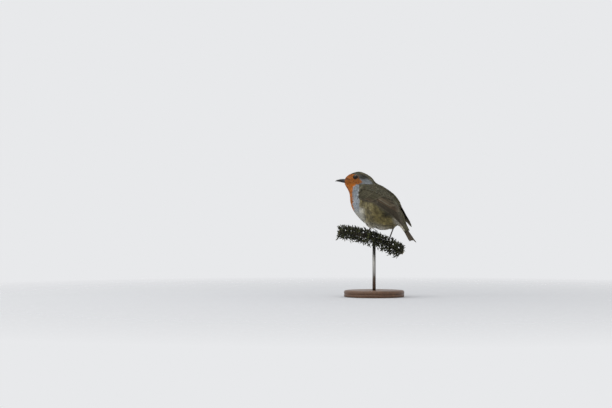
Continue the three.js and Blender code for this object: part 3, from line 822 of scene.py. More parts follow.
def stem_material():
    """A dried flower stem: fibrous bark with fine ridges, matte, olive going brown, and a pale pith
    at its cut ends."""
    material, tree, surface, place = new_material("dry_flower_stem_bark", Roughness=0.8)
    cut, around = (node(tree, "Attribute", attribute_name=key) for key in ("cut", "around"))
    # Blotches 4 to 5 mm across; 24 ridges round the stem.
    blotches = node(tree, "TexNoise", {"Vector": place, "Scale": 220.0, "Detail": 4.0})
    share = node(tree, "MapRange", {"Value": blotches, "From Min": 0.35, "From Max": 0.65})
    bark = node(tree, "Mix", {"Factor": share, "A": colour("stem"), "B": hex_colour("#3d3121")}, **BLEND)
    ridges = node(tree, "Math", {0: around, 1: 150.0}, operation="MULTIPLY")
    wave = node(tree, "Math", {0: ridges}, operation="SINE")
    feed(surface, {
        "Base Color": node(tree, "Mix", {"Factor": cut, "A": bark, "B": hex_colour("#b9a77c")}, **BLEND),
        "Normal": node(tree, "Bump", {"Height": wave, "Strength": 0.5, "Distance": 0.0001}),
    })
    return material


def capsule_material():
    """Dry seed capsules: brittle husk, matte, near black with an olive bloom on some."""
    material, tree, surface, place = new_material("dry_seed_capsule_husk", Roughness=0.75)
    tone, along = (node(tree, "Attribute", attribute_name=key) for key in ("tone", "along"))
    # Wrinkles and pits about 1 mm across.
    grain = node(tree, "TexNoise", {"Vector": place, "Scale": 900.0, "Detail": 3.0})
    green = node(tree, "MapRange", {"Value": tone, "From Min": 0.5, "From Max": 0.95})
    husk = {"Factor": green, "A": colour("capsule"), "B": colour("capsule_green")}
    husk = node(tree, "Mix", husk, **BLEND)
    tip = node(tree, "MapRange", {"Value": along, "From Min": 0.7, "To Max": 0.5})
    husk = node(tree, "Mix", {"Factor": tip, "A": husk, "B": hex_colour("#3d3322")}, **BLEND)
    pits = node(tree, "MapRange", {"Value": grain, "From Min": 0.45, "From Max": 0.65, "To Max": 0.6})
    feed(surface, {
        "Base Color": node(tree, "Mix", {"Factor": pits, "A": husk, "B": hex_colour("#100f0a")}, **BLEND),
        "Normal": node(tree, "Bump", {"Height": grain, "Strength": 0.5, "Distance": 0.0003}),
    })
    return material


def steel_material():
    """Drawn steel rod, brushed round: fine rings across it that stretch the highlight."""
    material, tree, surface, place = new_material("brushed_steel", Metallic=1.0)
    # Brush lines are finer than this; they are drawn 0.1 mm apart so that they show.
    flat = node(tree, "Mapping", {"Vector": place, "Scale": (40.0, 40.0, 9000.0)})
    rings = node(tree, "TexNoise", {"Vector": flat, "Scale": 1.0})
    steel = {"Factor": rings, "A": hex_colour("#8f8d88"), "B": hex_colour("#b1afa9")}
    feed(surface, {
        "Base Color": node(tree, "Mix", steel, **BLEND),
        "Roughness": node(tree, "MapRange", {"Value": rings, "To Min": 0.2, "To Max": 0.48}),
        "Normal": node(tree, "Bump", {"Height": rings, "Strength": 0.1, "Distance": 0.00003}),
    })
    return material


def wood_material():
    """Walnut, turned on a lathe and oiled: straight grain lines 1 to 2 mm apart, satin."""
    material, tree, surface, place = new_material("turned_oiled_walnut")
    warp = node(tree, "TexNoise", {"Vector": place, "Scale": 18.0, "Detail": 2.0})
    laid = node(tree, "Mapping", {"Vector": place, "Scale": (30.0, 700.0, 700.0)})
    wavy = {0: warp.outputs["Color"], 1: (5.0, 5.0, 5.0), 2: laid}
    moved = node(tree, "VectorMath", wavy, operation="MULTIPLY_ADD")
    grain = node(tree, "TexNoise", {"Vector": moved, "Scale": 1.0, "Detail": 5.0})
    lines = node(tree, "MapRange", {"Value": grain, "From Min": 0.3, "From Max": 0.7})
    wood = node(tree, "Mix", {"Factor": lines, "A": colour("wood_dark"), "B": colour("wood")}, **BLEND)
    # Open pores 0.3 mm wide and 3 mm long.
    fine = node(tree, "Mapping", {"Vector": place, "Scale": (300.0, 3800.0, 3800.0)})
    pore = node(tree, "TexNoise", {"Vector": fine, "Scale": 1.0})
    open_pore = node(tree, "MapRange", {"Value": pore, "From Min": 0.62, "From Max": 0.72, "To Max": 0.55})
    wood = node(tree, "Mix", {"Factor": open_pore, "A": wood, "B": hex_colour("#1d130c")}, **BLEND)
    feed(surface, {
        "Base Color": wood,
        "Roughness": node(tree, "MapRange", {"Value": grain, "To Min": 0.34, "To Max": 0.52}),
        "Normal": node(tree, "Bump", {"Height": pore, "Strength": 0.12, "Distance": 0.0001}),
    })
    return material


def floor_material():
    """Matt painted board that fades out well away from the stand."""
    material, tree, surface, place = new_material("matt_studio_floor", Roughness=0.9, Specular_IOR_Level=0.1)
    far = node(tree, "VectorMath", {0: place}, operation="LENGTH").outputs["Value"]
    grain = node(tree, "TexNoise", {"Vector": place, "Scale": 90.0})
    board = {"Factor": grain, "A": hex_colour("#b4b5b7"), "B": hex_colour("#b0b1b3")}
    feed(surface, {"Base Color": node(tree, "Mix", board, **BLEND)})
    fade = node(tree, "MapRange", {"Value": far, "From Min": 0.12, "From Max": 0.75})
    blend = node(tree, "MixShader", {0: fade, 1: surface, 2: node(tree, "BsdfTransparent")})
    feed(next(n for n in tree.nodes if n.type == "OUTPUT_MATERIAL"), {"Surface": blend})
    return material


# ---- Skin ----

SKIN_ENDS = 14.2
SKIN_GRID = (96, 170)  # faces round the body and along it
SKIN_CAP = 0.03  # share of the skin's length that closes each of its ends
SKIN_VOXEL = 0.55
# The plumage's depth over the skin at each station.
PLUMAGE_DEPTH = [
    (0, 0.25), (1, 0.3), (2, 0.42), (3, 0.55), (4, 0.75), (5, 0.95), (7, 1.35), (9, 1.6), (12, 1.6),
    (14, 1.1), (15, 0.8),
]
LID = {"across": 2.95, "up": 2.82, "thickness": 0.3}
SOCKET_RADIUS = LID["up"] - 0.12


def thigh_line(side):
    shin = unit(HEELS[side] - foot_middle(side))
    hem = foot_middle(side) + shin * BARE_SHIN[side]
    outside = lerp(hem, KNEES[side], 0.35) - shin * 2
    return lambda share: (
        KNEES[side] * ((1 - share) ** 2)[:, None]
        + outside * (2 * share * (1 - share))[:, None]
        + hem * (share**2)[:, None]
    )


THIGH_RADIUS = [(0, 3.0), (0.25, 6.0), (0.6, 5.1), (0.85, 3.0), (1, 1.32)]
THIGH_COAT = 1.0
THINNEST_THIGH = 0.8


def eye_offsets(points, side):
    """How far points lie along the line in which an eye looks, and the way and distance beside it."""
    middle, looks = eye_frame(side)
    offset = points - middle
    level = offset @ looks
    beside = offset - looks * level[:, None]
    return level, beside, np.linalg.norm(beside, axis=1)


def build_skin():
    bm = bmesh.new()

    def place(around, along):
        station = SKIN_ENDS * np.clip((along - SKIN_CAP) / (1 - 2 * SKIN_CAP), 0, 1)
        reach = np.clip(np.minimum(along, 1 - along) / SKIN_CAP, 0, 1)
        angle = around * math.tau
        depth = read(PLUMAGE_DEPTH, station)
        point = body_point(station, angle) - body_normal(station, angle) * depth[:, None]
        middle = body_point(station, angle, 0.0)
        return turn_head(lerp(middle, point, reach[:, None]))

    def thigh_radius(angle, share):
        return np.maximum(read(THIGH_RADIUS, share) - THIGH_COAT, THINNEST_THIGH)

    grow(bm, *SKIN_GRID, place)
    for side in SIDES.values():
        tube(bm, thigh_line(side), thigh_radius, 24, 24)
    mesh = fused("robin_skin", bm, SKIN_VOXEL, 6)
    points = mesh_points(mesh)
    for side in SIDES.values():
        middle, looks = eye_frame(side)
        level, beside, reach = eye_offsets(points, side)
        held = (reach < SOCKET_RADIUS) & (level > -1)
        depth = np.sqrt(np.maximum(SOCKET_RADIUS**2 - reach[held] ** 2, 0))
        points[held] = middle + beside[held] - looks * depth[:, None]
    set_mesh_points(mesh, points)
    return mesh


def add_lids(mesh):
    """Joins the rims of the eyelids to the skin and marks them."""
    bm = bmesh.new()
    bm.from_mesh(mesh)
    skin_corners = len(bm.verts)
    for side in SIDES.values():
        middle, looks = eye_frame(side)
        back = unit(np.cross(looks, UP)) * side
        upward = np.cross(back, looks) * side
        upward = upward if upward[2] > 0 else -upward

        def place(around, along):
            turn, angle = around * math.tau, along * math.tau
            corner = 1 + 0.1 * np.abs(np.cos(turn)) ** 6
            rim = back * (np.cos(turn) * LID["across"] * corner)[:, None]
            rim = rim + upward * (np.sin(turn) * LID["up"])[:, None]
            thick = LID["thickness"] * (1 - 0.35 * np.abs(np.cos(turn)) ** 4)
            level = np.sqrt(np.maximum(EYE_RADIUS**2 - (rim**2).sum(1), 0.5)) + 0.02
            ring = unit(rim) * np.cos(angle)[:, None] + looks * np.sin(angle)[:, None]
            return middle + rim + looks * level[:, None] + ring * thick[:, None]

        grow(bm, 40, 10, place)
    fill_mesh(mesh, bm)
    number_attributes(mesh, lid=np.arange(len(mesh.vertices)) >= skin_corners)


TRIES_PER_ROOT = 3.2


class Surface:
    """The skin as something that feathers can be set on."""

    def __init__(self, mesh):
        mesh.calc_loop_triangles()
        self.points = mesh_points(mesh)
        corners = np.empty(len(mesh.loop_triangles) * 3, np.int32)
        mesh.loop_triangles.foreach_get("vertices", corners)
        self.triangles = corners.reshape(-1, 3)
        self.tree = BVHTree.FromPolygons(self.points.tolist(), self.triangles.tolist())
        normals = np.zeros_like(self.points)
        a, b, c = (self.points[self.triangles[:, k]] for k in range(3))
        faces = np.cross(b - a, c - a)
        for k in range(3):
            np.add.at(normals, self.triangles[:, k], faces)
        self.normals = unit(normals)

    def nearest(self, points):
        """The nearest points of the skin, and the smooth normals there."""
        found = [self.tree.find_nearest(Vector(p)) for p in points]
        places = np.array([f[0][:] for f in found])
        corners = self.triangles[[f[2] for f in found]]
        gaps = np.linalg.norm(self.points[corners] - places[:, None], axis=-1)
        weights = 1 / (gaps + 1e-3)
        normals = unit((self.normals[corners] * weights[..., None]).sum(1))
        return places, normals

    def scatter(self, spacing_at, rng):
        """Random points of the skin that keep their own spacing from each other."""
        a, b, c = (self.points[self.triangles[:, k]] for k in range(3))
        areas = np.linalg.norm(np.cross(b - a, c - a), axis=1) / 2
        spacing = spacing_at((a + b + c) / 3)
        wanted = areas / spacing**2
        tries = int(wanted.sum() * TRIES_PER_ROOT)
        chosen = rng.choice(len(areas), tries, p=wanted / wanted.sum())
        u, v = rng.random(tries), rng.random(tries)
        over = u + v > 1
        u[over], v[over] = 1 - u[over], 1 - v[over]
        places = a[chosen] + (b - a)[chosen] * u[:, None] + (c - a)[chosen] * v[:, None]
        room = spacing[chosen]
        cell = room.max()
        keys = np.floor(places / cell).astype(int)
        grid, kept = {}, []
        near = [(i, j, k) for i in (-1, 0, 1) for j in (-1, 0, 1) for k in (-1, 0, 1)]
        for index, (key, place, gap) in enumerate(zip(keys.tolist(), places.tolist(), room.tolist())):
            limit = gap * gap
            blocked = any(
                (x - place[0]) ** 2 + (y - place[1]) ** 2 + (z - place[2]) ** 2 < limit
                for i, j, k in near
                for x, y, z in grid.get((key[0] + i, key[1] + j, key[2] + k), ())
            )
            if not blocked:
                grid.setdefault(tuple(key), []).append(tuple(place))
                kept.append(index)
        return places[kept]


def over_skin(station, angle, height):
    """Points at a height over the body's skin, with the normals there. Stations may run on past
    the tail's root."""
    held = np.clip(station, 0.05, LAST - 0.05)
    step = 0.05
    run = (body_point(held + step, angle) - body_point(held - step, angle)) / (2 * step)
    normal = body_normal(held, angle)
    point = body_point(held, angle) + run * (station - held)[:, None]
    point = point + normal * (height - read(PLUMAGE_DEPTH, station))[:, None]
    # The sides draw in towards the tail.
    point[:, 0] *= 1 - 0.22 * smoothstep(station, 13.2, 16)
    shares = turn_shares(point)
    return turned(point, shares), unit(turned(normal + HEAD_PIVOT, shares) - HEAD_PIVOT)


# ---- Body feathers ----

# Length of the body's feathers at each station.
FEATHER_LENGTH = [
    (0, 1.1), (1, 1.4), (2, 1.8), (3, 2.3), (4, 2.9), (5, 3.6), (6, 4.6), (7, 5.6), (8, 6.6), (12, 7.0),
    (13, 7.0), (14, 6.6),
]
EYE_BARE = 2.95
BILL_BARE = (1.9, -3.2)  # radius round the bill's middle line, and how far behind the face it starts
FAR = 99.0


def thigh_nearness(points):
    """For each point, how far it is from the nearer shin's feathered line, and the way down it."""
    shares = np.linspace(0.2, 1, 30)
    best = np.full(len(points), 1e9)
    way = np.zeros_like(points)
    reach = np.zeros(len(points))
    for side in SIDES.values():
        line = thigh_line(side)(shares)
        ways = unit(np.gradient(line, axis=0))
        gaps = np.linalg.norm(points[:, None] - line[None], axis=-1)
        nearest = gaps.argmin(1)
        gap = gaps.min(1)
        closer = gap < best
        best = np.where(closer, gap, best)
        way[closer] = ways[nearest[closer]]
        reach[closer] = shares[nearest[closer]]
    return best, way, reach


def bill_gap(points):
    """How far points lie from the bill's middle line, ahead of the face."""
    home = unturn_head(points)
    ahead = np.array([0.0, -math.cos(BILL_RISE), math.sin(BILL_RISE)])
    offset = home - face_middle()
    along = offset @ ahead
    return np.linalg.norm(offset - ahead * along[:, None], axis=1), along


def beside_eye(points, side):
    """How far points lie from the line in which an eye looks, with the way out from it."""
    level, beside, reach = eye_offsets(points, side)
    return np.where(level > -2.5, reach, FAR), unit(beside)


def feather_length(points, station):
    """How long the feathers are at points of the skin: shortest round the eyes and the bill."""
    reach = np.minimum(*(beside_eye(points, side)[0] for side in SIDES.values()))
    return np.minimum(read(FEATHER_LENGTH, station), 1.0 + 0.55 * np.maximum(reach - EYE_BARE, 0))


SPACING = 0.212  # the gap between roots as a share of the feathers' length
LEAST_SPACING = 0.41
THIGH_FEATHER = 3.4  # the longest on the thighs
WING_BORDER = (-3, 7)  # how far outside and inside the wing's outline roots stand closer
BORDER_SPACING = 0.72
SCAPULAR_END = 44  # how far from the wing's bend the last of them grow
# How far down the wing, at each distance from its bend, the mantle's feathers grow over it.
SCAPULAR_REACH = [(-4, 2.0), (3, 5.2), (22, 6.0), (36, 3.4), (SCAPULAR_END, 1.5)]


def place_roots(skin, rng, density):
    """Where the body's feathers grow: closer on the face, and not under the wings."""

    def spacing(points):
        home = unturn_head(points)
        station, _ = body_coordinates(home[:, 1], home[:, 2])
        length = feather_length(points, station)
        near, _, reach = thigh_nearness(points)
        # Short feathers on the thighs, and dense ones along the wing's edge.
        length = np.where((near < 5.5) & (reach > 0.55), np.minimum(length, THIGH_FEATHER), length)
        inside = wing_cover(home)[0]
        closer = np.where((inside > WING_BORDER[0]) & (inside < WING_BORDER[1]), BORDER_SPACING, 1.0)
        return np.maximum(length * SPACING * closer, LEAST_SPACING) / math.sqrt(density)

    roots = skin.scatter(spacing, rng)
    home = unturn_head(roots)
    inside, _, gap, _ = wing_cover(home)
    a, b = wing_coordinates(home)
    scapular = (b > through(WING_TOP, a) - read(SCAPULAR_REACH, a)) & (a < SCAPULAR_END)
    reach, along = bill_gap(roots)
    keep = (inside < 0.4) | (gap > UNDER_WING) | scapular
    keep &= ~((reach < BILL_BARE[0]) & (along > BILL_BARE[1]))
    for side in SIDES.values():
        keep &= beside_eye(roots, side)[0] > EYE_BARE
    return roots[keep]


STEPS = 3  # in which each feather's middle line is laid
ROOT_RISE = 0.25  # share of the plumage's depth at which a feather leaves its root
ROOT_SUNK = 0.25  # how deep in the skin the root itself is
EDGE_SWELL = 0.8  # how far outside the wing's edge the feathers start to rise over it
BEND_SWELL = 3.4  # and how far ahead of its bend


def lay_feathers(skin, roots, tufts, gather, rng):
    """The middle line of each feather, laid from its root along the body. It rises towards its tip,
    and over the wing's front and top."""
    station, angle = body_place(unturn_head(roots))
    length = feather_length(roots, station) * rng.uniform(0.88, 1.12, len(roots))
    surface, normal = over_skin(station, angle, np.zeros(len(roots)))
    bulge = np.clip(((roots - surface) * normal).sum(1), 0, 8)
    depth = read(PLUMAGE_DEPTH, station)
    drift = rng.normal(0, 0.06, len(roots)) + 0.1 * np.sin(roots[:, 0] * 1.1 + roots[:, 2] * 0.6)
    slip = roots - surface - normal * bulge[:, None]
    slip = slip * np.minimum(1, 2.5 / np.maximum(np.linalg.norm(slip, axis=1), 1e-6))[:, None]
    offset = roots - roots[tufts]
    home = unturn_head(roots)
    a, b = wing_coordinates(home)
    inside, _, gap, _ = wing_cover(home)
    over = np.where((gap > UNDER_WING) | ((a > 1) & (b < through(WING_FOOT, a) + 0.6)), 0, 1)
    sprung = smoothstep(inside, 0, 2) * over * 0.75
    points, normals = [], []
    for step in range(STEPS + 1):
        share = step / STEPS
        home = body_point(np.clip(station, 0, LAST), angle)
        _, thick, gap, rim = wing_cover(home)
        front = 1 - smoothstep(wing_coordinates(home)[0], 2, 8)
        raised = over * smoothstep(rim, -lerp(EDGE_SWELL, BEND_SWELL, front), EDGE_SWELL)
        raised = raised * (thick + lerp(1.0, 1.9, front)) * (1 - smoothstep(gap, 0.5, 2))
        height = depth * lerp(ROOT_RISE, 1.0, share) if step else -ROOT_SUNK
        height = height + bulge + raised * lerp(sprung, 1.0, smoothstep(share, 0, 0.5))
        laid, normal = over_skin(station, angle, height)
        here = laid
        for side in SIDES.values():
            reach, way = beside_eye(here, side)
            here = here + way * np.maximum(EYE_BARE + 0.2 - reach, 0)[:, None]
        here = here + slip * (1 - share)
        if step:
            under, out = skin.nearest(here)
            least = depth * lerp(ROOT_RISE, 1.0, share)
            here = here + out * np.clip(least - ((here - under) * out).sum(1), 0, 6)[:, None]
        points.append(here)
        normals.append(normal)
        ahead = over_skin(station + 0.1, angle, height)[0] - laid
        around = over_skin(station, angle + 0.02, height)[0] - laid
        if step == 0:
            across = unit(np.cross(normal, ahead))
            aside = (offset * across).sum(1) / length
            drift = drift - gather * aside
        turn = np.where((around * across).sum(1) > 0, 1, -1)
        station = station + 0.1 * length / STEPS / np.linalg.norm(ahead, axis=1)
        angle = angle + 0.02 * turn * drift * length / STEPS / np.linalg.norm(around, axis=1)
    return np.stack(points, 1), np.stack(normals, 1), length


def lay_shin_feathers(skin, roots, rng):
    """The middle line of each short feather of the thighs, laid down the shin."""
    length = rng.uniform(2.6, THIGH_FEATHER, len(roots))
    here = roots
    _, normal = skin.nearest(roots)
    points, normals = [roots - normal * ROOT_SUNK], [normal]
    for step in range(STEPS):
        _, shin, _ = thigh_nearness(here)
        flow = unit(shin - normal * (shin * normal).sum(1)[:, None])
        here, normal = skin.nearest(here + flow * (length / STEPS)[:, None])
        points.append(here + normal * THIGH_COAT * (ROOT_RISE + (1 - ROOT_RISE) * (step + 1) / STEPS))
        normals.append(normal)
    return np.stack(points, 1), np.stack(normals, 1), length


TUFT_SHARE = 0.1  # of the roots, each at the middle of a tuft


def gather_tufts(roots, rng):
    """Gathers roots into tufts. Gives the root at the middle of each one's tuft."""
    middles = np.flatnonzero(rng.random(len(roots)) < TUFT_SHARE)
    tree = KDTree(len(middles))
    for index in middles:
        tree.insert(roots[index], int(index))
    tree.balance()
    return np.array([tree.find(root)[1] for root in roots])


HALF_WIDTH = 0.27  # of a feather, as a share of its length
BARB_WIDTH = 0.38  # of a barb, as a share of the feather's length over its number of barbs


def blade_points(lines, normals, length, blades, rng, pattern):
    """Corners of every barb of every feather, as feathers x blades x corners x 3."""
    around, along, _ = pattern
    count = len(lines)
    sides = unit(np.cross(normals, np.gradient(lines, axis=1)))
    spread = np.linspace(-1, 1, blades)[None, :] + rng.uniform(-0.5, 0.5, (count, blades)) / blades
    reach = (1 - 0.3 * spread**2) * rng.uniform(0.86, 1.08, (count, blades))
    half = (length * HALF_WIDTH)[:, None]
    thick = (length / blades * BARB_WIDTH)[:, None] * rng.uniform(0.8, 1.25, (count, blades))
    s = np.clip(along[None, None, :] * reach[..., None], 0, 1.1)
    i = np.clip((s * STEPS).astype(int), 0, STEPS - 1)
    t = (s * STEPS - i)[..., None]
    rows = np.arange(count)[:, None, None]
    middle = lerp(lines[rows, i], lines[rows, i + 1], t)
    normal = unit(lerp(normals[rows, i], normals[rows, i + 1], t))
    side = unit(lerp(sides[rows, i], sides[rows, i + 1], t))
    fan = 0.22 + 0.78 * smoothstep(s, 0.0, 0.75) - 0.16 * smoothstep(s, 0.75, 1.05)
    offset = half[..., None] * spread[..., None] * fan
    taper = np.sin(np.pi * np.clip(along, 0, 1) ** 0.75) ** 0.6
    width = thick[..., None] * taper[None, None, :]
    lift = -0.12 * half[..., None] * (spread**2)[..., None] * s
    lift = lift + rng.normal(0, 0.018, (count, blades))[..., None] * length[:, None, None] * s
    across = np.cos(around)[None, None, :] * width + offset
    up = np.sin(around)[None, None, :] * width * 0.4 + lift
    return middle + side * across[..., None] + normal * up[..., None], spread


# The stations at which the head, neck and breast end, and the angle at which the back does.
HEAD_END, NECK_END, BREAST_END, BACK_END = 4.9, 6.6, 9.5, 1.5
# Each part takes what the parts before it leave.
COAT_PARTS = {
    "head_left": (lambda station, angle: (station < HEAD_END) & (angle >= 0), "face_feathers"),
    "head_right": (lambda station, angle: station < HEAD_END, "face_feathers"),
    "neck": (lambda station, angle: station < NECK_END, "breast_feathers"),
    "back": (lambda station, angle: np.abs(angle) <= BACK_END, "body_feathers"),
    "breast": (lambda station, angle: station < BREAST_END, "breast_feathers"),
    "belly": (lambda station, angle: station >= BREAST_END, "flank_feathers"),
}
BARBS = 10
HEAD_BARBS = 9
GATHER = (0.12, 0.42)  # how far smooth and ragged feathers draw together into tufts
TUFT_TONES = (0.35, 0.8)  # how far their tufts differ in tone


def build_coat(skin):
    rng = np.random.default_rng(SEEDS["coat"])
    density = bpy.context.scene.robin_sizes.feather_density * 1.0
    roots = place_roots(skin, rng, density)
    near, _, reach = thigh_nearness(roots)
    on_shin = (near < 5.6) & (reach > 0.6)
    order = np.argsort(on_shin, kind="stable")
    roots, count = roots[order], int((~on_shin).sum())
    tufts = gather_tufts(roots, rng)
    marks = plumage(roots)
    ragged = np.clip(marks[:, 2] * (1 - marks[:, 1]) * (1 - 0.7 * marks[:, 3]), 0, 1)
    gather = lerp(*GATHER, ragged[:count])
    body = lay_feathers(skin, roots[:count], np.minimum(tufts[:count], count - 1), gather, rng)
    shins = lay_shin_feathers(skin, roots[count:], rng)
    lines, normals, length = (np.concatenate(pair) for pair in zip(body, shins))
    station, angle = body_place(unturn_head(roots))
    edge = np.linalg.norm(roots - roots[tufts], axis=1) / (0.4 * length)
    tone = 0.5 + (rng.random(len(roots))[tufts] - 0.5) * lerp(*TUFT_TONES, ragged)
    # Ragged feathers darken towards the edge of their tuft: painted shade in the gaps between tufts.
    tone = tone + (rng.random(len(roots)) - 0.5) * 0.3 - 0.3 * ragged * np.clip(edge, 0, 1.3) ** 2
    material = contour_feather_material()
    pattern = spindle(3, 4)
    around, along, faces = pattern
    corners = len(around)
    taken = np.zeros(len(roots), bool)
    for name, (belongs, slot) in COAT_PARTS.items():
        chosen = belongs(station, angle) & ~taken
        taken |= chosen
        if not chosen.any():
            raise RuntimeError(f"no feathers grow on the {name}")
        blades = HEAD_BARBS if name.startswith("head") else BARBS
        laid = (lines[chosen], normals[chosen], length[chosen])
        points, spread = blade_points(*laid, blades, rng, pattern)
        copies = len(points) * blades
        points = points.reshape(copies, corners, 3)
        mesh = joined_copies("coat_" + name, faces, points)
        shown = points[:, np.argmin(np.abs(along - 0.75))]
        feather = np.repeat(np.arange(chosen.sum()), blades)
        wobble = rng.normal(0, 0.45, chosen.sum())[feather]
        mark(mesh, np.repeat(plumage(shown, wobble), corners, axis=0))
        number_attributes(
            mesh,
            dusk=np.repeat(dusk(shown), corners),
            along=np.tile(along, copies),
            tone=np.repeat(tone[chosen][feather], corners),
            strand=np.repeat(rng.random(copies), corners),
        )
        bake_map(mesh, coat_map(station[chosen][feather], angle[chosen][feather], spread, around, along))
        add_piece(mesh, material)


TUFT_PATCH = 0.003  # of the map's width
MAP_MARGIN = 0.02


def coat_map(station, angle, spread, around, along):
    """Each barb's patch at its root's place on the skin unrolled from face to tail."""
    u, v = angle / math.tau, station / LAST
    u, v = (MAP_MARGIN + (1 - 2 * MAP_MARGIN) * (c - c.min()) / (c.max() - c.min()) for c in (u, v))
    u = u + TUFT_PATCH * 0.5 * spread.ravel()
    corner_u = u[:, None] + TUFT_PATCH * 0.4 * np.cos(around)[None, :]
    corner_v = v[:, None] + TUFT_PATCH * (along - 0.5)[None, :]
    return np.stack([corner_u.ravel(), corner_v.ravel()], -1)


# ---- Wing and tail feathers ----

# Each primary's tip: its distance from the wing's bend, and its share of the way up the wing.
PRIMARY_TIPS = [
    (63.0, 0.1), (66.4, 0.2), (68.6, 0.32), (69.5, 0.42), (68.4, 0.5), (65.6, 0.56), (62.4, 0.62),
    (59.4, 0.68), (56.6, 0.74),
]
LESSER_LAYERS = 5


def up_wing(a, share=0.0):
    """How high across the wing a share of the way from its lower edge to its upper edge is."""
    return lerp(float(through(WING_FOOT, a)), float(through(WING_TOP, a)), share)


def vane(root, tip, bow, webs, lifts, roundness, warm):
    """A feather's root and tip as (a, b), how far it bows up, the half widths of its outer and inner
    web, the lift of its root and tip, how round its tip is and how warm its brown is."""
    return (root, tip, bow, *webs, *lifts, roundness, warm)


def flight_feathers():
    rows = []
    for i, (a, share) in enumerate(PRIMARY_TIPS):
        tip, lifts = (a, up_wing(a, share)), (0.1 + 0.1 * i, 0.3 + 0.1 * i)
        rows.append(vane((12, 1.2 + 0.4 * i), tip, 3.6 - 0.12 * i, (1.15, 3.2), lifts, 0.5, 0.1))
    for i in range(6):  # secondaries
        a = 53.6 - 1.7 * i
        tip, lifts = (a, up_wing(a, 0.78 + 0.035 * i)), (1.0 + 0.08 * i, 1.1 + 0.08 * i)
        rows.append(vane((13, 5.0 + 1.1 * i), tip, 1.6, (1.35, 4.2), lifts, 0.8, 0.55))
    for i in range(3):  # tertials
        a = 45.0 - 5.4 * i
        tip, lifts = (a, up_wing(a, 0.84 + 0.02 * i)), (1.5 + 0.14 * i, 1.65 + 0.14 * i)
        rows.append(vane((11, 10.4 + 1.5 * i), tip, 0.6, (3.3, 3.3), lifts, 1.0, 0.3))
    return rows


def coverts():
    rows = []
    for i in range(6):  # primary coverts
        a = 29.0 - 2.0 * i
        tip, lifts = (a, up_wing(a) + 1.3 + 0.75 * i), (1.1 + 0.07 * i, 1.2 + 0.07 * i)
        rows.append(vane((8, -2.4 + 0.8 * i), tip, 0.4, (1.3, 2.2), lifts, 0.8, 0.15))
    for i in range(3):  # alula
        tip, lifts = (20.0 - 2.6 * i, 1.5 + 0.2 * i), (1.5 + 0.1 * i, 1.5)
        rows.append(vane((2, -3.6 + 1.0 * i), tip, -0.9, (1.1, 1.9), lifts, 0.7, 0.0))
    for i in range(10):  # greater coverts
        share = i / 9
        tip = (lerp(22.0, 29.5, share**0.8), lerp(3.6, 16.4, share))
        root, lifts = (lerp(6.0, 8.0, share), lerp(-1.6, 13.0, share)), (1.75 + 0.03 * i, 1.95 + 0.03 * i)
        rows.append(vane(root, tip, 0.3, (1.75, 2.1), lifts, 0.95, 0.35))
    for i in range(9):  # median coverts
        share = i / 8
        tip = (lerp(13.0, 18.6, share), lerp(-1.2, 15.6, share))
        root = (lerp(3.0, 5.0, share), lerp(-3.0, 12.4, share))
        rows.append(vane(root, tip, 0.2, (1.5, 1.7), (2.05 + 0.02 * i, 2.3), 1.0, 0.2))
    for layer in range(LESSER_LAYERS):
        for i in range(10):
            share = (i + 0.5 * (layer % 2)) / 9.5
            a = 11.8 - 2.5 * layer + 2.2 * share
            held = max(a, WING_FRONT + 0.5)
            tip = (a, lerp(up_wing(held) + 0.9, up_wing(held, 1.0) - 0.9, share))
            back = max(a - 6.0, WING_FRONT + 0.3)
            root = (back, max(tip[1] - 0.4, up_wing(back) + 0.8))
            rows.append(vane(root, tip, 0.1, (1.25, 1.25), (2.1, 2.36 + 0.05 * layer), 1.0, 0.1))
    return rows


TIP_CROWDING = 1.5  # how strongly a vane's corners gather at its tip
SHAFT_SHARE = 0.12  # half the width of the shaft's ridge, as a share of a web's width
SHAFT_TAPER = 0.6
WING_WEB = 0.075  # half the thickness of a wing feather's web
WING_LAYERS = 2.4  # the lift at which a feather lies on the wing's outer face


def vane_points(rows, pattern):
    """Corners of each vane in the plane of the wing, with its lift: vanes x corners."""
    around, along, _ = pattern
    share = 1 - (1 - along) ** TIP_CROWDING
    root, tip = (np.array([row[k] for row in rows], float) for k in (0, 1))
    bow, outer, inner, lift_root, lift_tip, roundness, warm = np.array([row[2:] for row in rows], float).T
    run = tip - root
    length = np.linalg.norm(run, axis=1)
    ahead = run / length[:, None]
    up = np.stack([-ahead[:, 1], ahead[:, 0]], -1)
    blunt = lerp(0.55, 0.82, roundness)[:, None]
    beyond = np.clip((share[None, :] - blunt) / (1 - blunt), 0, 1)
    shape = lerp(0.3, 1.0, smoothstep(share, 0.0, 0.35))[None, :] * np.sqrt(np.maximum(1 - beyond**2.2, 0))
    edge = np.cos(around)[None, :]
    width = np.where(edge > 0, outer[:, None], inner[:, None]) * shape
    across = -edge * width
    bowed = bow[:, None] * 4 * share[None, :] * (1 - share[None, :])
    a = root[:, :1] + run[:, :1] * share + up[:, :1] * (across + bowed)
    b = root[:, 1:] + run[:, 1:] * share + up[:, 1:] * (across + bowed)
    camber = 0.26 * (1 - np.abs(edge) ** 1.6) * (outer + inner)[:, None] * 0.25
    shaft = 0.1 * np.exp(-((edge / SHAFT_SHARE) ** 2)) * np.where(np.sin(around) > 0, 1, 0.4)[None, :]
    thick = (WING_WEB + shaft * (1 - SHAFT_TAPER * share)[None, :]) * np.sin(around)[None, :]
    thick = thick * np.clip(shape * 1.6, 0, 1)
    layer = lerp(lift_root[:, None], lift_tip[:, None], share[None, :]) / WING_LAYERS
    lift = 0.15 + layer * (wing_thickness(a, b) + 0.1) + camber * shape + thick
    return a, b, lift, edge * np.ones_like(width), share[None, :] * np.ones_like(width), warm


VANE_PATTERN = (12, 12)  # faces round a vane and along it


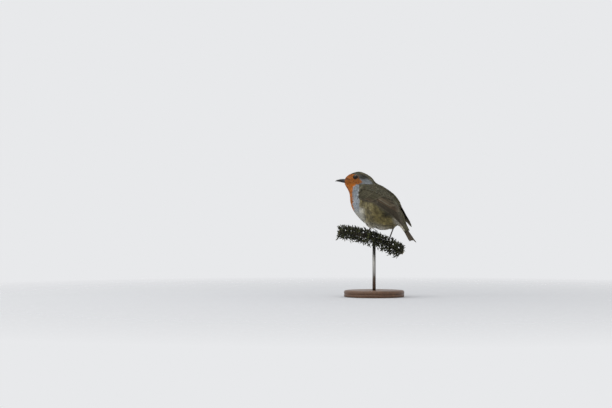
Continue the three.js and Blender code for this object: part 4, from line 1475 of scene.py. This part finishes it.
def atlas_map(mesh, count, across, along):
    """A cell of the unit square for each vane, both its faces in the same place."""
    columns = math.ceil(math.sqrt(count * 2.5))
    lines = math.ceil(count / columns)
    cell = np.arange(count)
    u = ((cell % columns)[:, None] + 0.5 + across * 0.42) / columns
    v = ((cell // columns)[:, None] + 0.05 + along * 0.9) / lines
    bake_map(mesh, np.stack([u.ravel(), v.ravel()], -1))


def build_wings():
    rng = np.random.default_rng(SEEDS["wings"])
    pattern = spindle(*VANE_PATTERN)
    rows = flight_feathers() + coverts()
    a, b, lift, across, along, warm = vane_points(rows, pattern)
    cover = smoothstep(lift.mean(1), 1.5, 2.1)
    material = vane_material("flight_feather_webs", "wing", 0.75)
    tone = rng.random(len(rows))
    tone, warm, cover = (np.repeat(values, across.shape[1]) for values in (tone, warm, cover))
    for name, side in SIDES.items():
        points = wing_place(a, b, lift, side)
        mesh = joined_copies("wing_feathers_" + name, pattern[2], points, flip=side > 0)
        number_attributes(mesh, across=across, along=along, tone=tone, warm=warm, cover=cover)
        atlas_map(mesh, len(rows), across, along)
        add_piece(mesh, material, ["wing_" + name])


TAIL_PAIRS = 6
TAIL_WEBS = (1.35, 1.75)  # half widths of the outer and the inner web
TAIL_WEB = 0.07  # half the thickness of a tail feather's web
TAIL_CAMBER = 0.35
TAIL_HALF_WIDTH = 7.2


def build_tail():
    rng = np.random.default_rng(SEEDS["tail"])
    pattern = spindle(*VANE_PATTERN)
    around, along, faces = pattern
    share = 1 - (1 - along) ** TIP_CROWDING
    # The outermost pair lies lowest and the middle pair on top.
    places, levels = [], []
    for layer in range(TAIL_PAIRS):
        for side in (1, -1):
            places.append(side * (TAIL_PAIRS - 0.5 - layer))
            levels.append(layer + (0.4 if side > 0 else 0))
    places, levels = np.array(places)[:, None], np.array(levels)[:, None]
    length = np.linalg.norm(TAIL_TIP - TAIL_ROOT)
    outward = np.abs(places) / (TAIL_PAIRS - 0.5)
    reach = 1 - TAIL_NOTCH * (1 - outward) / length
    reach = reach + rng.uniform(-0.006, 0.006, reach.shape)
    down = share[None, :] * reach
    beyond = np.clip((share[None, :] - 0.84) / 0.16, 0, 1)
    shape = lerp(0.45, 1.0, smoothstep(share, 0, 0.5))[None, :] * np.sqrt(np.maximum(1 - beyond**2.8, 0))
    edge = np.cos(around)[None, :] * np.ones_like(down)
    outer_web = edge * np.sign(places) > 0
    width = np.where(outer_web, *TAIL_WEBS) * shape
    spread = lerp(0.72, 1.08, share)[None, :]
    across = places * spread * 0.98 + edge * width
    half = lerp(1.5, 0.55, share)[None, :]
    shaft = 0.09 * np.exp(-((edge / SHAFT_SHARE) ** 2)) * (1 - SHAFT_TAPER * share)[None, :]
    thick = (TAIL_WEB + shaft) * np.sin(around)
    lift = lerp(-half, half, levels / (TAIL_PAIRS - 0.6)) + thick * np.clip(shape * 1.6, 0, 1)
    lift = lift + 0.1 * (1 - np.abs(edge) ** 1.6) * shape - TAIL_CAMBER * (across / TAIL_HALF_WIDTH) ** 2
    points = tail_place(across, down, lift)
    mesh = joined_copies("tail_feathers", faces, points, flip=True)
    lengthwise = share[None, :] * np.ones_like(edge)
    number_attributes(
        mesh,
        across=np.where(outer_web, 1, -1) * np.abs(edge),
        along=lengthwise,
        tone=np.repeat(rng.random(len(places)), len(around)),
        warm=np.full(edge.shape, 0.25),
        cover=np.zeros(edge.shape),
    )
    atlas_map(mesh, len(places), edge, lengthwise)
    material = vane_material("tail_feather_webs", "tail", 0.35)
    add_piece(mesh, material, ["tail"])


# ---- Bill and eyes ----

BILL_GRID = (40, 44)
BILL_SLIT = 0.01  # half the gap between the bill's halves
ROOF_SHARE = 0.68  # share of each half's outline that its roof or its keel takes
GAPE_DROP = 0.45  # how far below the bill's middle line its halves meet
BILL_AHEAD = np.array([0, 0.6, 0])
NOSTRIL_ALONG = 0.17
BILL_HEIGHT_CURVE = [(0, 1), (0.3, 0.84), (0.6, 0.58), (0.85, 0.34), (1, 0.12)]
BILL_WIDTH_CURVE = [(0, 1), (0.3, 0.74), (0.6, 0.46), (0.85, 0.26), (1, 0.1)]


def bill_to_head(points):
    """Carries points from the bill's own place, pointing along -Y, to the front of the head."""
    cos, sin = math.cos(-BILL_RISE), math.sin(-BILL_RISE)
    x, y, z = np.moveaxis(points, -1, 0)
    risen = np.stack([x, y * cos - z * sin, y * sin + z * cos], -1) + face_middle() + BILL_AHEAD
    return turned(risen, np.ones(len(points)))


def build_bill_half(upper):
    """One half of the bill: a ridged roof above the gape, or a keel below it."""
    rows = BILL_GRID[1]
    up = 1 if upper else -1

    def place(around, along):
        full = BILL_LENGTH + BILL_BURIED
        row = np.round(along * rows)
        closed = (row == 0) | (row == rows)
        share = np.clip((row - 1) / (rows - 2), 0, 1) ** 0.9
        y = share * full - BILL_BURIED
        shown = np.clip(y / BILL_LENGTH, 0, 1)
        wide = BILL_HALF_WIDTH * through(BILL_WIDTH_CURVE, shown)
        high = BILL_HALF_HEIGHT * through(BILL_HEIGHT_CURVE, shown)
        droop = -0.9 * shown**3 - (0.25 * smoothstep(shown, 0.86, 1) if upper else 0)
        arc = around < ROOF_SHARE
        angle = np.clip(around / ROOF_SHARE, 0, 1) * math.pi
        round_x = np.cos(angle) * (1 - 0.22 * np.sin(angle) ** 2)
        round_z = np.sin(angle) ** 0.9
        flat = np.clip((around - ROOF_SHARE) / (1 - ROOF_SHARE), 0, 1)
        x = np.where(arc, round_x, lerp(-1.0, 1.0, flat)) * wide
        rise = np.where(arc, round_z, 0) * high
        gape = -GAPE_DROP + droop + 0.25 * np.sin(shown * math.pi) * 0.4
        dome = high + GAPE_DROP * up
        z = gape + (BILL_SLIT + rise / np.maximum(high, 1e-6) * np.maximum(dome, 0.12)) * up
        if upper:
            pit = np.exp(-(((shown - NOSTRIL_ALONG) / 0.055) ** 2) - ((round_z - 0.62) / 0.14) ** 2) * arc
            x = x * (1 - 0.22 * pit)
        x, z = np.where(closed, 0, x), np.where(closed, gape + 0.3 * up, z)
        y = np.where(row == rows, y + (0.1 if upper else -0.15), y)
        return bill_to_head(np.stack([x, -y, z], -1))

    bm = bmesh.new()
    grow(bm, *BILL_GRID, place)
    name = "bill_upper" if upper else "bill_lower"
    mesh = finished_mesh(name + "_sheath", bm)
    home = unturned_bill(mesh_points(mesh))
    shown = np.clip(-home[:, 1] / BILL_LENGTH, 0, 1)
    # The nostril, painted near black by the bill's material: painted shade inside its opening.
    pit = np.zeros(len(home))
    if upper:
        pit = np.exp(-(((shown - NOSTRIL_ALONG) / 0.05) ** 2) - ((home[:, 2] - 0.85) / 0.3) ** 2)
        pit = pit * (np.abs(home[:, 0]) > 0.9)
    number_attributes(mesh, shown=shown, pit=pit)
    return name, mesh


def unturned_bill(points):
    """Points of the bill back in its own place."""
    home = turned(points, np.ones(len(points)), -1) - (face_middle() + BILL_AHEAD)
    cos, sin = math.cos(BILL_RISE), math.sin(BILL_RISE)
    x, y, z = home.T
    return np.stack([x, y * cos - z * sin, y * sin + z * cos], -1)


def build_bill():
    material = bill_material()
    for upper in (True, False):
        name, mesh = build_bill_half(upper)
        add_piece(mesh, material, [name])


CORNEA_BULGE = 0.22
CORNEA_EDGE = 0.7  # share of the eye's radius at which the bulge starts


def build_eyes():
    material = eye_material()
    for name, side in SIDES.items():
        middle, looks = eye_frame(side)
        bm = bmesh.new()
        bmesh.ops.create_uvsphere(bm, u_segments=48, v_segments=32, radius=EYE_RADIUS * MM)
        aim = Vector((0, 0, 1)).rotation_difference(Vector(looks)).to_matrix().to_4x4()
        for vertex in bm.verts:
            out = vertex.co.z / (EYE_RADIUS * MM)
            vertex.co.z += CORNEA_BULGE * MM * max(0.0, (out - CORNEA_EDGE) / (1 - CORNEA_EDGE)) ** 2
        bmesh.ops.transform(bm, matrix=Matrix.Translation(to_frame(middle)) @ aim, verts=bm.verts)
        mesh = finished_mesh("eye_globe_" + name, bm)
        number_attributes(mesh, out=unit(mesh_points(mesh) - middle) @ looks)
        add_piece(mesh, material, ["eye_" + name])


# ---- Legs, perch and stand ----

SHIN_RADIUS = [(0, 1.2), (0.08, 1.25), (0.2, 0.86), (0.5, 0.76), (0.85, 0.82), (1, 1.0)]
SCUTES = 13
LEG_VOXEL = 0.17
CLAW_START = 0.97  # where the claw's sheath starts on the toe's line
CLAW_OVERRUN = 0.3
CLAW_RADII = (0.47, 0.05)


def build_legs():
    material, horn = leg_material(), claw_material()
    for name, side in SIDES.items():
        bm = bmesh.new()
        ankle = foot_middle(side)
        heel = HEELS[side]

        def shin_radius(angle, share):
            plates = 0.045 * np.abs(np.sin(share * SCUTES * math.pi)) ** 0.6
            return read(SHIN_RADIUS, share) * (0.94 + plates)

        tube(bm, lambda share: lerp(heel, ankle, share[:, None]), shin_radius, 20, 78)
        for toe in TOES:
            joints = 2.6 if toe in ("inner", "hind") else 3.6

            def toe_radius(angle, share):
                pads = 0.1 * np.abs(np.sin(share * joints * math.pi))
                rings = 0.03 * np.abs(np.sin(share * 24))
                return TOE_RADIUS * (0.92 + pads + rings) * (1 - 0.18 * share)

            tube(bm, lambda share: toe_line(toe, side, share), toe_radius, 14, 40)
        ball = bmesh.ops.create_uvsphere(bm, u_segments=16, v_segments=10, radius=PAD_RADIUS * 1.05 * MM)
        bmesh.ops.translate(bm, verts=ball["verts"], vec=Vector(to_frame(foot_middle(side) - UP * PAD_GAP)))
        mesh = fused("leg_and_toes_" + name, bm, LEG_VOXEL, 2)
        add_piece(mesh, material, ["leg_" + name, "foot_" + name])
        for toe, (_, _, claw) in TOES.items():
            at = np.linspace(0, 1, 40)
            length = np.linalg.norm(np.diff(toe_line(toe, side, at), axis=0), axis=1).sum()
            end = 1 + (claw + CLAW_OVERRUN) / length
            bm = bmesh.new()

            def claw_radius(angle, share):
                return lerp(*CLAW_RADII, share**1.4) * (1 - 0.12 * np.cos(2 * angle))

            tube(bm, lambda share: toe_line(toe, side, lerp(CLAW_START, end, share)), claw_radius, 12, 16)
            mesh = finished_mesh(f"claw_sheath_{name}_{toe}", bm)
            root = toe_line(toe, side, np.array([CLAW_START]))[0]
            gap = np.linalg.norm(mesh_points(mesh) - root, axis=1)
            number_attributes(mesh, along=gap / gap.max())
            add_piece(mesh, horn, [f"claw_{name}_{toe}"])


WHORL_SPACING = 3.7
BRANCHES = 9  # in each whorl
BRANCH_LENGTHS = (5.5, 10.4)
CAPSULES = 14  # on each branch
CAPSULE_LENGTHS = (2.8, 5.4)
CAPSULE_RADII = (0.45, 0.78)
# The spike's half width, how much less that is above the stem, and the room round the bird's feet.
SPIKE_HALF = 13.8
SPIKE_TOP_CUT = 3.0
FOOT_ROOM = 1.15
TWIG, CAPSULE, BRISTLE = 0, 1, 2
TWIG_RADIUS = 0.3
BRISTLE_RADIUS = 0.28
BRISTLE_LENGTHS = (3.5, 6.5)
ROD_NEAR = 16  # how much of the rod's top the capsules keep clear of


def obstacles():
    """Points along everything that the seed capsules keep clear of."""
    found = [toe_line(toe, side, np.linspace(0, 1.5, 14)) for toe in TOES for side in SIDES.values()]
    shares = np.linspace(0, 1, 14)[:, None]
    found += [lerp(foot_middle(side), HEELS[side], shares) for side in SIDES.values()]
    found.append(HELD - UP * ROD_NEAR * shares)
    return np.vstack(found)


def build_perch():
    rng = np.random.default_rng(SEEDS["perch"])
    bm = bmesh.new()
    start, end = STEM_ENDS

    def stem_radius(angle, share):
        nodes = 0.12 * np.cos(share * 14 * math.tau) ** 8
        return STEM_RADIUS * (0.95 + 0.03 * np.cos(4 * angle)) + nodes

    tube(bm, lambda share: stem_point(lerp(start, end, share)), stem_radius, 32, 120)
    mesh = finished_mesh("perch_stem", bm)
    points = mesh_points(mesh)
    ends = np.minimum(
        (points - stem_point(start)) @ unit(stem_point(start + 1) - stem_point(start)),
        (stem_point(end) - points) @ unit(stem_point(end) - stem_point(end - 1)),
    )
    # The ridges run round a level line just above the stem's middle.
    number_attributes(mesh, cut=ends < 0.02, around=np.arctan2(points[:, 2] + 41, points[:, 0]) / math.tau)
    add_piece(mesh, stem_material(), ["perch_spike"])

    blocks = obstacles()
    grown = []
    distance, whorl = end - 1.5, 0
    while distance > start + 2:
        for i in range(BRANCHES):
            around = (i + 0.5 * (whorl % 2) + rng.uniform(-0.3, 0.3)) / BRANCHES * math.tau
            out = stem_outward(distance, around)
            forward = unit(stem_point(distance - 1) - stem_point(distance))
            side = np.cross(out, forward)
            base = stem_point(distance) + out * STEM_RADIUS * 0.7
            branch = unit(out + forward * 0.45 + side * rng.uniform(-0.3, 0.3) + UP * 0.1)
            reach = rng.uniform(*BRANCH_LENGTHS)
            grown.append((base, base + branch * reach, TWIG_RADIUS, TWIG))
            for _ in range(CAPSULES):
                at = base + branch * rng.uniform(1.2, reach)
                lean = unit(branch * 0.7 + rng.normal(0, 0.55, 3) + UP * 0.35)
                capsule = at + lean * rng.uniform(*CAPSULE_LENGTHS)
                grown.append((at, capsule, rng.uniform(*CAPSULE_RADII), CAPSULE))
            at = base + branch * reach * rng.uniform(0.5, 1)
            lean = unit(branch * 0.5 + UP + rng.normal(0, 0.25, 3))
            grown.append((at, at + lean * rng.uniform(*BRISTLE_LENGTHS), BRISTLE_RADIUS, BRISTLE))
        distance -= WHORL_SPACING
        whorl += 1
    roots, tips, radii, kinds = (np.array(column) for column in zip(*grown))
    shares = np.linspace(0, 1, 5)[None, :, None]
    samples = roots[:, None] + (tips - roots)[:, None] * shares
    gaps = np.linalg.norm(samples[:, :, None] - blocks[None, None], axis=-1).min((1, 2))
    clear = gaps > radii + FOOT_ROOM
    out = tips - stem_point(np.clip(stem_along(tips), start, end))
    from_stem = np.linalg.norm(out, axis=1)
    clear &= from_stem < SPIKE_HALF - SPIKE_TOP_CUT * out[:, 2] / from_stem
    roots, tips, radii, kinds = roots[clear], tips[clear], radii[clear], kinds[clear]
    around, along, faces = spindle(5, 5)
    way = unit(tips - roots)
    across = unit(np.cross(way, UP + 0.01))
    rise = np.cross(way, across)
    belly = np.interp(along, [0, 0.15, 0.4, 0.7, 0.85, 1], [0.3, 0.55, 1.0, 0.7, 0.3, 0.0])
    twig = np.interp(along, [0, 0.15, 0.85, 1], [1, 1, 0.9, 0.0])
    shape = np.where((kinds == CAPSULE)[:, None], belly[None, :], twig[None, :])
    shape = shape * np.where((kinds == BRISTLE)[:, None], (1 - along * 0.7)[None, :], 1)
    r = radii[:, None] * shape
    flat = np.where((kinds == CAPSULE)[:, None], 0.72, 1.0)
    points = (
        roots[:, None]
        + (tips - roots)[:, None] * along[None, :, None]
        + across[:, None] * (np.cos(around)[None] * r)[..., None]
        - rise[:, None] * (np.sin(around)[None] * r * flat)[..., None]
    )
    mesh = joined_copies("perch_seed_capsules", faces, points, flip=True)
    tone = np.repeat(rng.random(len(roots)), len(around))
    number_attributes(mesh, tone=tone, along=np.tile(along, len(roots)))
    add_piece(mesh, capsule_material(), ["perch_spike"])


def stem_along(points):
    """How far along the stem points lie, from its middle."""
    distances = np.linspace(*STEM_ENDS, 200)
    line = stem_point(distances)
    return distances[np.linalg.norm(points[:, None] - line[None], axis=-1).argmin(1)]


BASE_PROFILE = [
    (0.0, 0.0), (34.6, 0.0), (35.4, 0.3), (36.0, 1.2), (36.0, 3.2), (35.6, 3.6), (35.6, 4.0), (36.0, 4.4),
    (36.0, 6.2), (35.5, 7.4), (34.4, 8.0), (7.0, 8.0), (6.6, 7.8), (6.2, 8.0), (2.6, 8.0), (2.3, 7.7),
    (2.3, 3.0), (0.0, 3.0),
]
CUP_GAP = 0.12  # between the stem and the rod's cupped top
RIM_BEVEL = 0.25
SHARP = 0.6  # radians between two faces, past which their edge is bevelled


def build_stand():
    bm = bmesh.new()
    corners = [bm.verts.new((r * MM, 0, z * MM)) for r, z in BASE_PROFILE]
    edges = [bm.edges.new(pair) for pair in zip(corners, corners[1:])]
    round_z = {"cent": (0, 0, 0), "axis": (0, 0, 1), "angle": math.tau}
    bmesh.ops.spin(bm, geom=corners + edges, steps=96, use_merge=True, **round_z)
    bmesh.ops.remove_doubles(bm, verts=bm.verts, dist=1e-6)
    rims = [e for e in bm.edges if len(e.link_faces) == 2 and e.calc_face_angle(0) > SHARP]
    bmesh.ops.bevel(
        bm, geom=rims, offset=RIM_BEVEL * MM, segments=2, affect="EDGES", profile=0.5, material=-1
    )
    mesh = finished_mesh("stand_base_turned", bm)
    add_piece(mesh, wood_material(), ["stand_base"])

    low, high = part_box("stand_rod")
    bm = bmesh.new()
    size = {"radius1": ROD_RADIUS * MM, "radius2": ROD_RADIUS * MM, "depth": high.z - low.z}
    rod = bmesh.ops.create_cone(bm, cap_ends=True, cap_tris=True, segments=48, **size)
    bmesh.ops.translate(bm, verts=rod["verts"], vec=(0, 0, (high.z + low.z) / 2))
    held = Vector(to_frame(HELD))
    heading = Vector(unit(stem_point(ROD_ALONG_STEM + 0.5) - stem_point(ROD_ALONG_STEM - 0.5)))
    level = heading.to_2d().to_3d().normalized()
    for vertex in bm.verts:
        if vertex.co.z > (low.z + high.z) / 2:
            offset = Vector((vertex.co.x, vertex.co.y, 0))
            run = offset.dot(level)
            beside = offset - level * run
            stem_low = held.z + run * heading.z / heading.to_2d().length
            cup = math.sqrt(max((STEM_RADIUS + CUP_GAP) ** 2 - (beside.length / MM) ** 2, 0)) * MM
            vertex.co.z = min(vertex.co.z, stem_low - cup / math.cos(STEM_SLOPE))
    mesh = finished_mesh("stand_rod_brushed", bm)
    add_piece(mesh, steel_material(), ["stand_rod"])


# ---- Stage ----

CAMERA_AZIMUTH = math.radians(115)
CAMERA_RISE = math.radians(-1.0)
CAMERA_LENS = 85.0
CAMERA_DISTANCE = 1.733
BIRD_RIGHT_OF_MIDDLE = 0.0828  # metres at the bird's distance
BIRD_BELOW_MIDDLE = 0.0012
FLOOR_RADIUS = 1.2
LIT_SPOT = Vector((0, 0, 0.1))


def aimed(name, data, place, target):
    """Adds a light or a camera that looks at a target."""
    made = bpy.data.objects.new(name, data)
    made.location = place
    made.rotation_mode = "QUATERNION"
    made.rotation_quaternion = (target - Vector(place)).to_track_quat("-Z", "Y")
    bpy.context.scene.collection.objects.link(made)
    return made


def build_stage():
    scene = bpy.context.scene
    scene.view_settings.view_transform = "Standard"
    bm = bmesh.new()
    bmesh.ops.create_circle(bm, cap_ends=True, radius=FLOOR_RADIUS, segments=96)
    floor = bpy.data.objects.new("studio_floor", finished_mesh("studio_floor", bm))
    floor.data.materials.append(floor_material())
    scene.collection.objects.link(floor)

    world = bpy.data.worlds.new("overcast")
    world.use_nodes = True
    tree = world.node_tree
    tree.nodes.clear()
    sky = node(tree, "Background", {"Color": hex_colour("#e8e9eb"), "Strength": 1.0})
    node(tree, "OutputWorld", {"Surface": sky})
    scene.world = world

    for name, place, size, power in (
        ("soft_light_above", (0.15, -0.1, 1.1), 0.9, 8.5),
        ("soft_light_front", (0.9, -0.8, 0.7), 0.8, 2.5),
    ):
        light = bpy.data.lights.new(name, "AREA")
        light.energy = power
        light.shape = "DISK"
        light.size = size
        aimed(name, light, place, LIT_SPOT)

    view = bpy.data.cameras.new("camera")
    view.lens = CAMERA_LENS
    view.clip_start = 0.05
    bird = Vector(to_frame(np.zeros(3)))
    cos, sin = math.cos(CAMERA_RISE), math.sin(CAMERA_RISE)
    back = Vector((math.sin(CAMERA_AZIMUTH) * cos, -math.cos(CAMERA_AZIMUTH) * cos, sin))
    right = Vector((math.cos(CAMERA_AZIMUTH), math.sin(CAMERA_AZIMUTH), 0))
    target = bird - right * BIRD_RIGHT_OF_MIDDLE + Vector((0, 0, BIRD_BELOW_MIDDLE))
    scene.camera = aimed("camera", view, bird + back * CAMERA_DISTANCE, target)


# ---- Settings, operators and panel ----


def colour_setting(name, description, value):
    return bpy.props.FloatVectorProperty(
        name=name, description=description, subtype="COLOR", size=4, min=0, max=1, default=hex_colour(value)
    )


class RobinColours(bpy.types.PropertyGroup):
    """The bird's, the perch's and the stand's colours."""

    orange: colour_setting("Orange", "Face and breast", "#db8630")
    orange_deep: colour_setting("Deep orange", "Darker feathers of the face and breast", "#c87220")
    grey: colour_setting("Blue-grey", "Border of the orange, ears and neck", "#b3bac0")
    back: colour_setting("Olive-brown", "Crown and back", "#6b6a53")
    back_warm: colour_setting("Warm olive-brown", "Warmer feathers of the crown and back", "#6d644d")
    flank: colour_setting("Buff", "Flanks and the sides of the belly", "#a3955f")
    flank_deep: colour_setting("Deep buff", "Darker feathers of the flanks", "#7a6e45")
    belly: colour_setting("White", "Middle of the belly", "#efece0")
    # Tint of the darkest feathers, and of the painted shade on the rear flank under the wing.
    dusk: colour_setting("Dusk", "Tint of the darkest feathers", "#5a5648")
    wing: colour_setting("Wing", "Webs of the wing feathers", "#443f33")
    wing_covert: colour_setting("Coverts", "Small feathers of the wing's front", "#45422f")
    wing_warm: colour_setting("Warm wing", "Outer webs of the inner flight feathers", "#503e2d")
    wing_dark: colour_setting("Dark wing", "Inner webs of the flight feathers", "#231f1a")
    wing_fringe: colour_setting("Fringe", "Edges of the wing feathers", "#6c6657")
    tail: colour_setting("Tail", "Webs of the tail feathers", "#3c372f")
    bill: colour_setting("Bill", "Horn of the bill", "#1f1d1b")
    # A painted blue-grey sheen on the horn at the bill's root.
    painted_sheen_at_bill_root: colour_setting("Bill root", "Horn at the bill's root", "#33373b")
    eye_ring: colour_setting("Eye ring", "Rims of the eyelids", "#6a5230")
    leg: colour_setting("Leg", "Scales of the legs and toes", "#2f2522")
    claw: colour_setting("Claw", "Horn of the claws", "#15120f")
    stem: colour_setting("Stem", "Bark of the flower spike", "#4a472f")
    capsule: colour_setting("Capsule", "Husk of the seed capsules", "#22231a")
    capsule_green: colour_setting("Green capsule", "The greenest seed capsules", "#55592f")
    wood: colour_setting("Wood", "Base of the stand", "#6b4a31")
    wood_dark: colour_setting("Dark wood", "Grain lines of the base", "#472f1e")


class RobinSizes(bpy.types.PropertyGroup):
    """How dense the plumage is."""

    feather_density: bpy.props.FloatProperty(
        name="Feather density",
        description="Number of body feathers compared with a full coat",
        default=1.0, min=0.1, max=2.0, subtype="FACTOR",
    )


# What one operator leaves for the next.
left_over = {}


class ROBIN_OT_skin(bpy.types.Operator):
    """One skin for the head, neck, trunk and thighs, with the rims of the eyelids."""

    bl_idname = "robin.skin"
    bl_label = "Skin"
    bl_options = {"REGISTER", "UNDO"}

    def execute(self, context):
        mesh = build_skin()
        left_over["skin"] = Surface(mesh)
        add_lids(mesh)
        points = mesh_points(mesh)
        mark(mesh, plumage(points))
        number_attributes(mesh, dusk=dusk(points))
        flesh = ["head", "neck", "trunk", "thigh_left", "thigh_right"]
        add_piece(mesh, skin_material(), flesh)
        return {"FINISHED"}


class ROBIN_OT_coat(bpy.types.Operator):
    """The body's feathers, each a fan of barbs that lies along the body."""

    bl_idname = "robin.coat"
    bl_label = "Body feathers"
    bl_options = {"REGISTER", "UNDO"}

    def execute(self, context):
        if "skin" not in left_over:
            raise RuntimeError("the skin is made before the feathers that grow on it")
        build_coat(left_over["skin"])
        return {"FINISHED"}


class ROBIN_OT_wings(bpy.types.Operator):
    """The feathers of the two folded wings."""

    bl_idname = "robin.wings"
    bl_label = "Wings"
    bl_options = {"REGISTER", "UNDO"}

    def execute(self, context):
        build_wings()
        return {"FINISHED"}


class ROBIN_OT_tail(bpy.types.Operator):
    """The twelve feathers of the closed tail."""

    bl_idname = "robin.tail"
    bl_label = "Tail"
    bl_options = {"REGISTER", "UNDO"}

    def execute(self, context):
        build_tail()
        return {"FINISHED"}


class ROBIN_OT_bill(bpy.types.Operator):
    """The two halves of the bill."""

    bl_idname = "robin.bill"
    bl_label = "Bill"
    bl_options = {"REGISTER", "UNDO"}

    def execute(self, context):
        build_bill()
        return {"FINISHED"}


class ROBIN_OT_eyes(bpy.types.Operator):
    """The two eyes."""

    bl_idname = "robin.eyes"
    bl_label = "Eyes"
    bl_options = {"REGISTER", "UNDO"}

    def execute(self, context):
        build_eyes()
        return {"FINISHED"}


class ROBIN_OT_legs(bpy.types.Operator):
    """The bare legs, toes and claws."""

    bl_idname = "robin.legs"
    bl_label = "Legs and claws"
    bl_options = {"REGISTER", "UNDO"}

    def execute(self, context):
        build_legs()
        return {"FINISHED"}


class ROBIN_OT_perch(bpy.types.Operator):
    """The cut flower spike with its seed capsules."""

    bl_idname = "robin.perch"
    bl_label = "Perch"
    bl_options = {"REGISTER", "UNDO"}

    def execute(self, context):
        build_perch()
        return {"FINISHED"}


class ROBIN_OT_stand(bpy.types.Operator):
    """The display stand's base and rod."""

    bl_idname = "robin.stand"
    bl_label = "Stand"
    bl_options = {"REGISTER", "UNDO"}

    def execute(self, context):
        build_stand()
        return {"FINISHED"}


class ROBIN_OT_stage(bpy.types.Operator):
    """The floor, the lights and the camera."""

    bl_idname = "robin.stage"
    bl_label = "Stage"
    bl_options = {"REGISTER", "UNDO"}

    def execute(self, context):
        build_stage()
        return {"FINISHED"}


OPERATORS = (
    ROBIN_OT_skin, ROBIN_OT_coat, ROBIN_OT_wings, ROBIN_OT_tail, ROBIN_OT_bill,
    ROBIN_OT_eyes, ROBIN_OT_legs, ROBIN_OT_perch, ROBIN_OT_stand, ROBIN_OT_stage,
)


class ROBIN_PT_panel(bpy.types.Panel):
    """Lists the robin's pieces in the order in which they are made."""

    bl_label = "Perched Robin"
    bl_idname = "ROBIN_PT_panel"
    bl_space_type = "VIEW_3D"
    bl_region_type = "UI"
    bl_category = "Robin"

    def draw(self, context):
        layout = self.layout
        for settings in (context.scene.robin_sizes, context.scene.robin_colours):
            box = layout.box()
            for key in settings.bl_rna.properties.keys():
                if key not in ("rna_type", "name"):
                    box.prop(settings, key)
        for operator in OPERATORS:
            layout.operator(operator.bl_idname)


CLASSES = (RobinColours, RobinSizes, *OPERATORS, ROBIN_PT_panel)


def register():
    for cls in CLASSES:
        bpy.utils.register_class(cls)
    bpy.types.Scene.robin_colours = bpy.props.PointerProperty(type=RobinColours)
    bpy.types.Scene.robin_sizes = bpy.props.PointerProperty(type=RobinSizes)


def unregister():
    del bpy.types.Scene.robin_sizes
    del bpy.types.Scene.robin_colours
    for cls in reversed(CLASSES):
        bpy.utils.unregister_class(cls)


def main():
    register()
    bpy.ops.robin.skin()
    bpy.ops.robin.coat()
    bpy.ops.robin.wings()
    bpy.ops.robin.tail()
    bpy.ops.robin.bill()
    bpy.ops.robin.eyes()
    bpy.ops.robin.legs()
    bpy.ops.robin.perch()
    bpy.ops.robin.stand()
    bpy.ops.robin.stage()


if __name__ == "__main__":
    main()
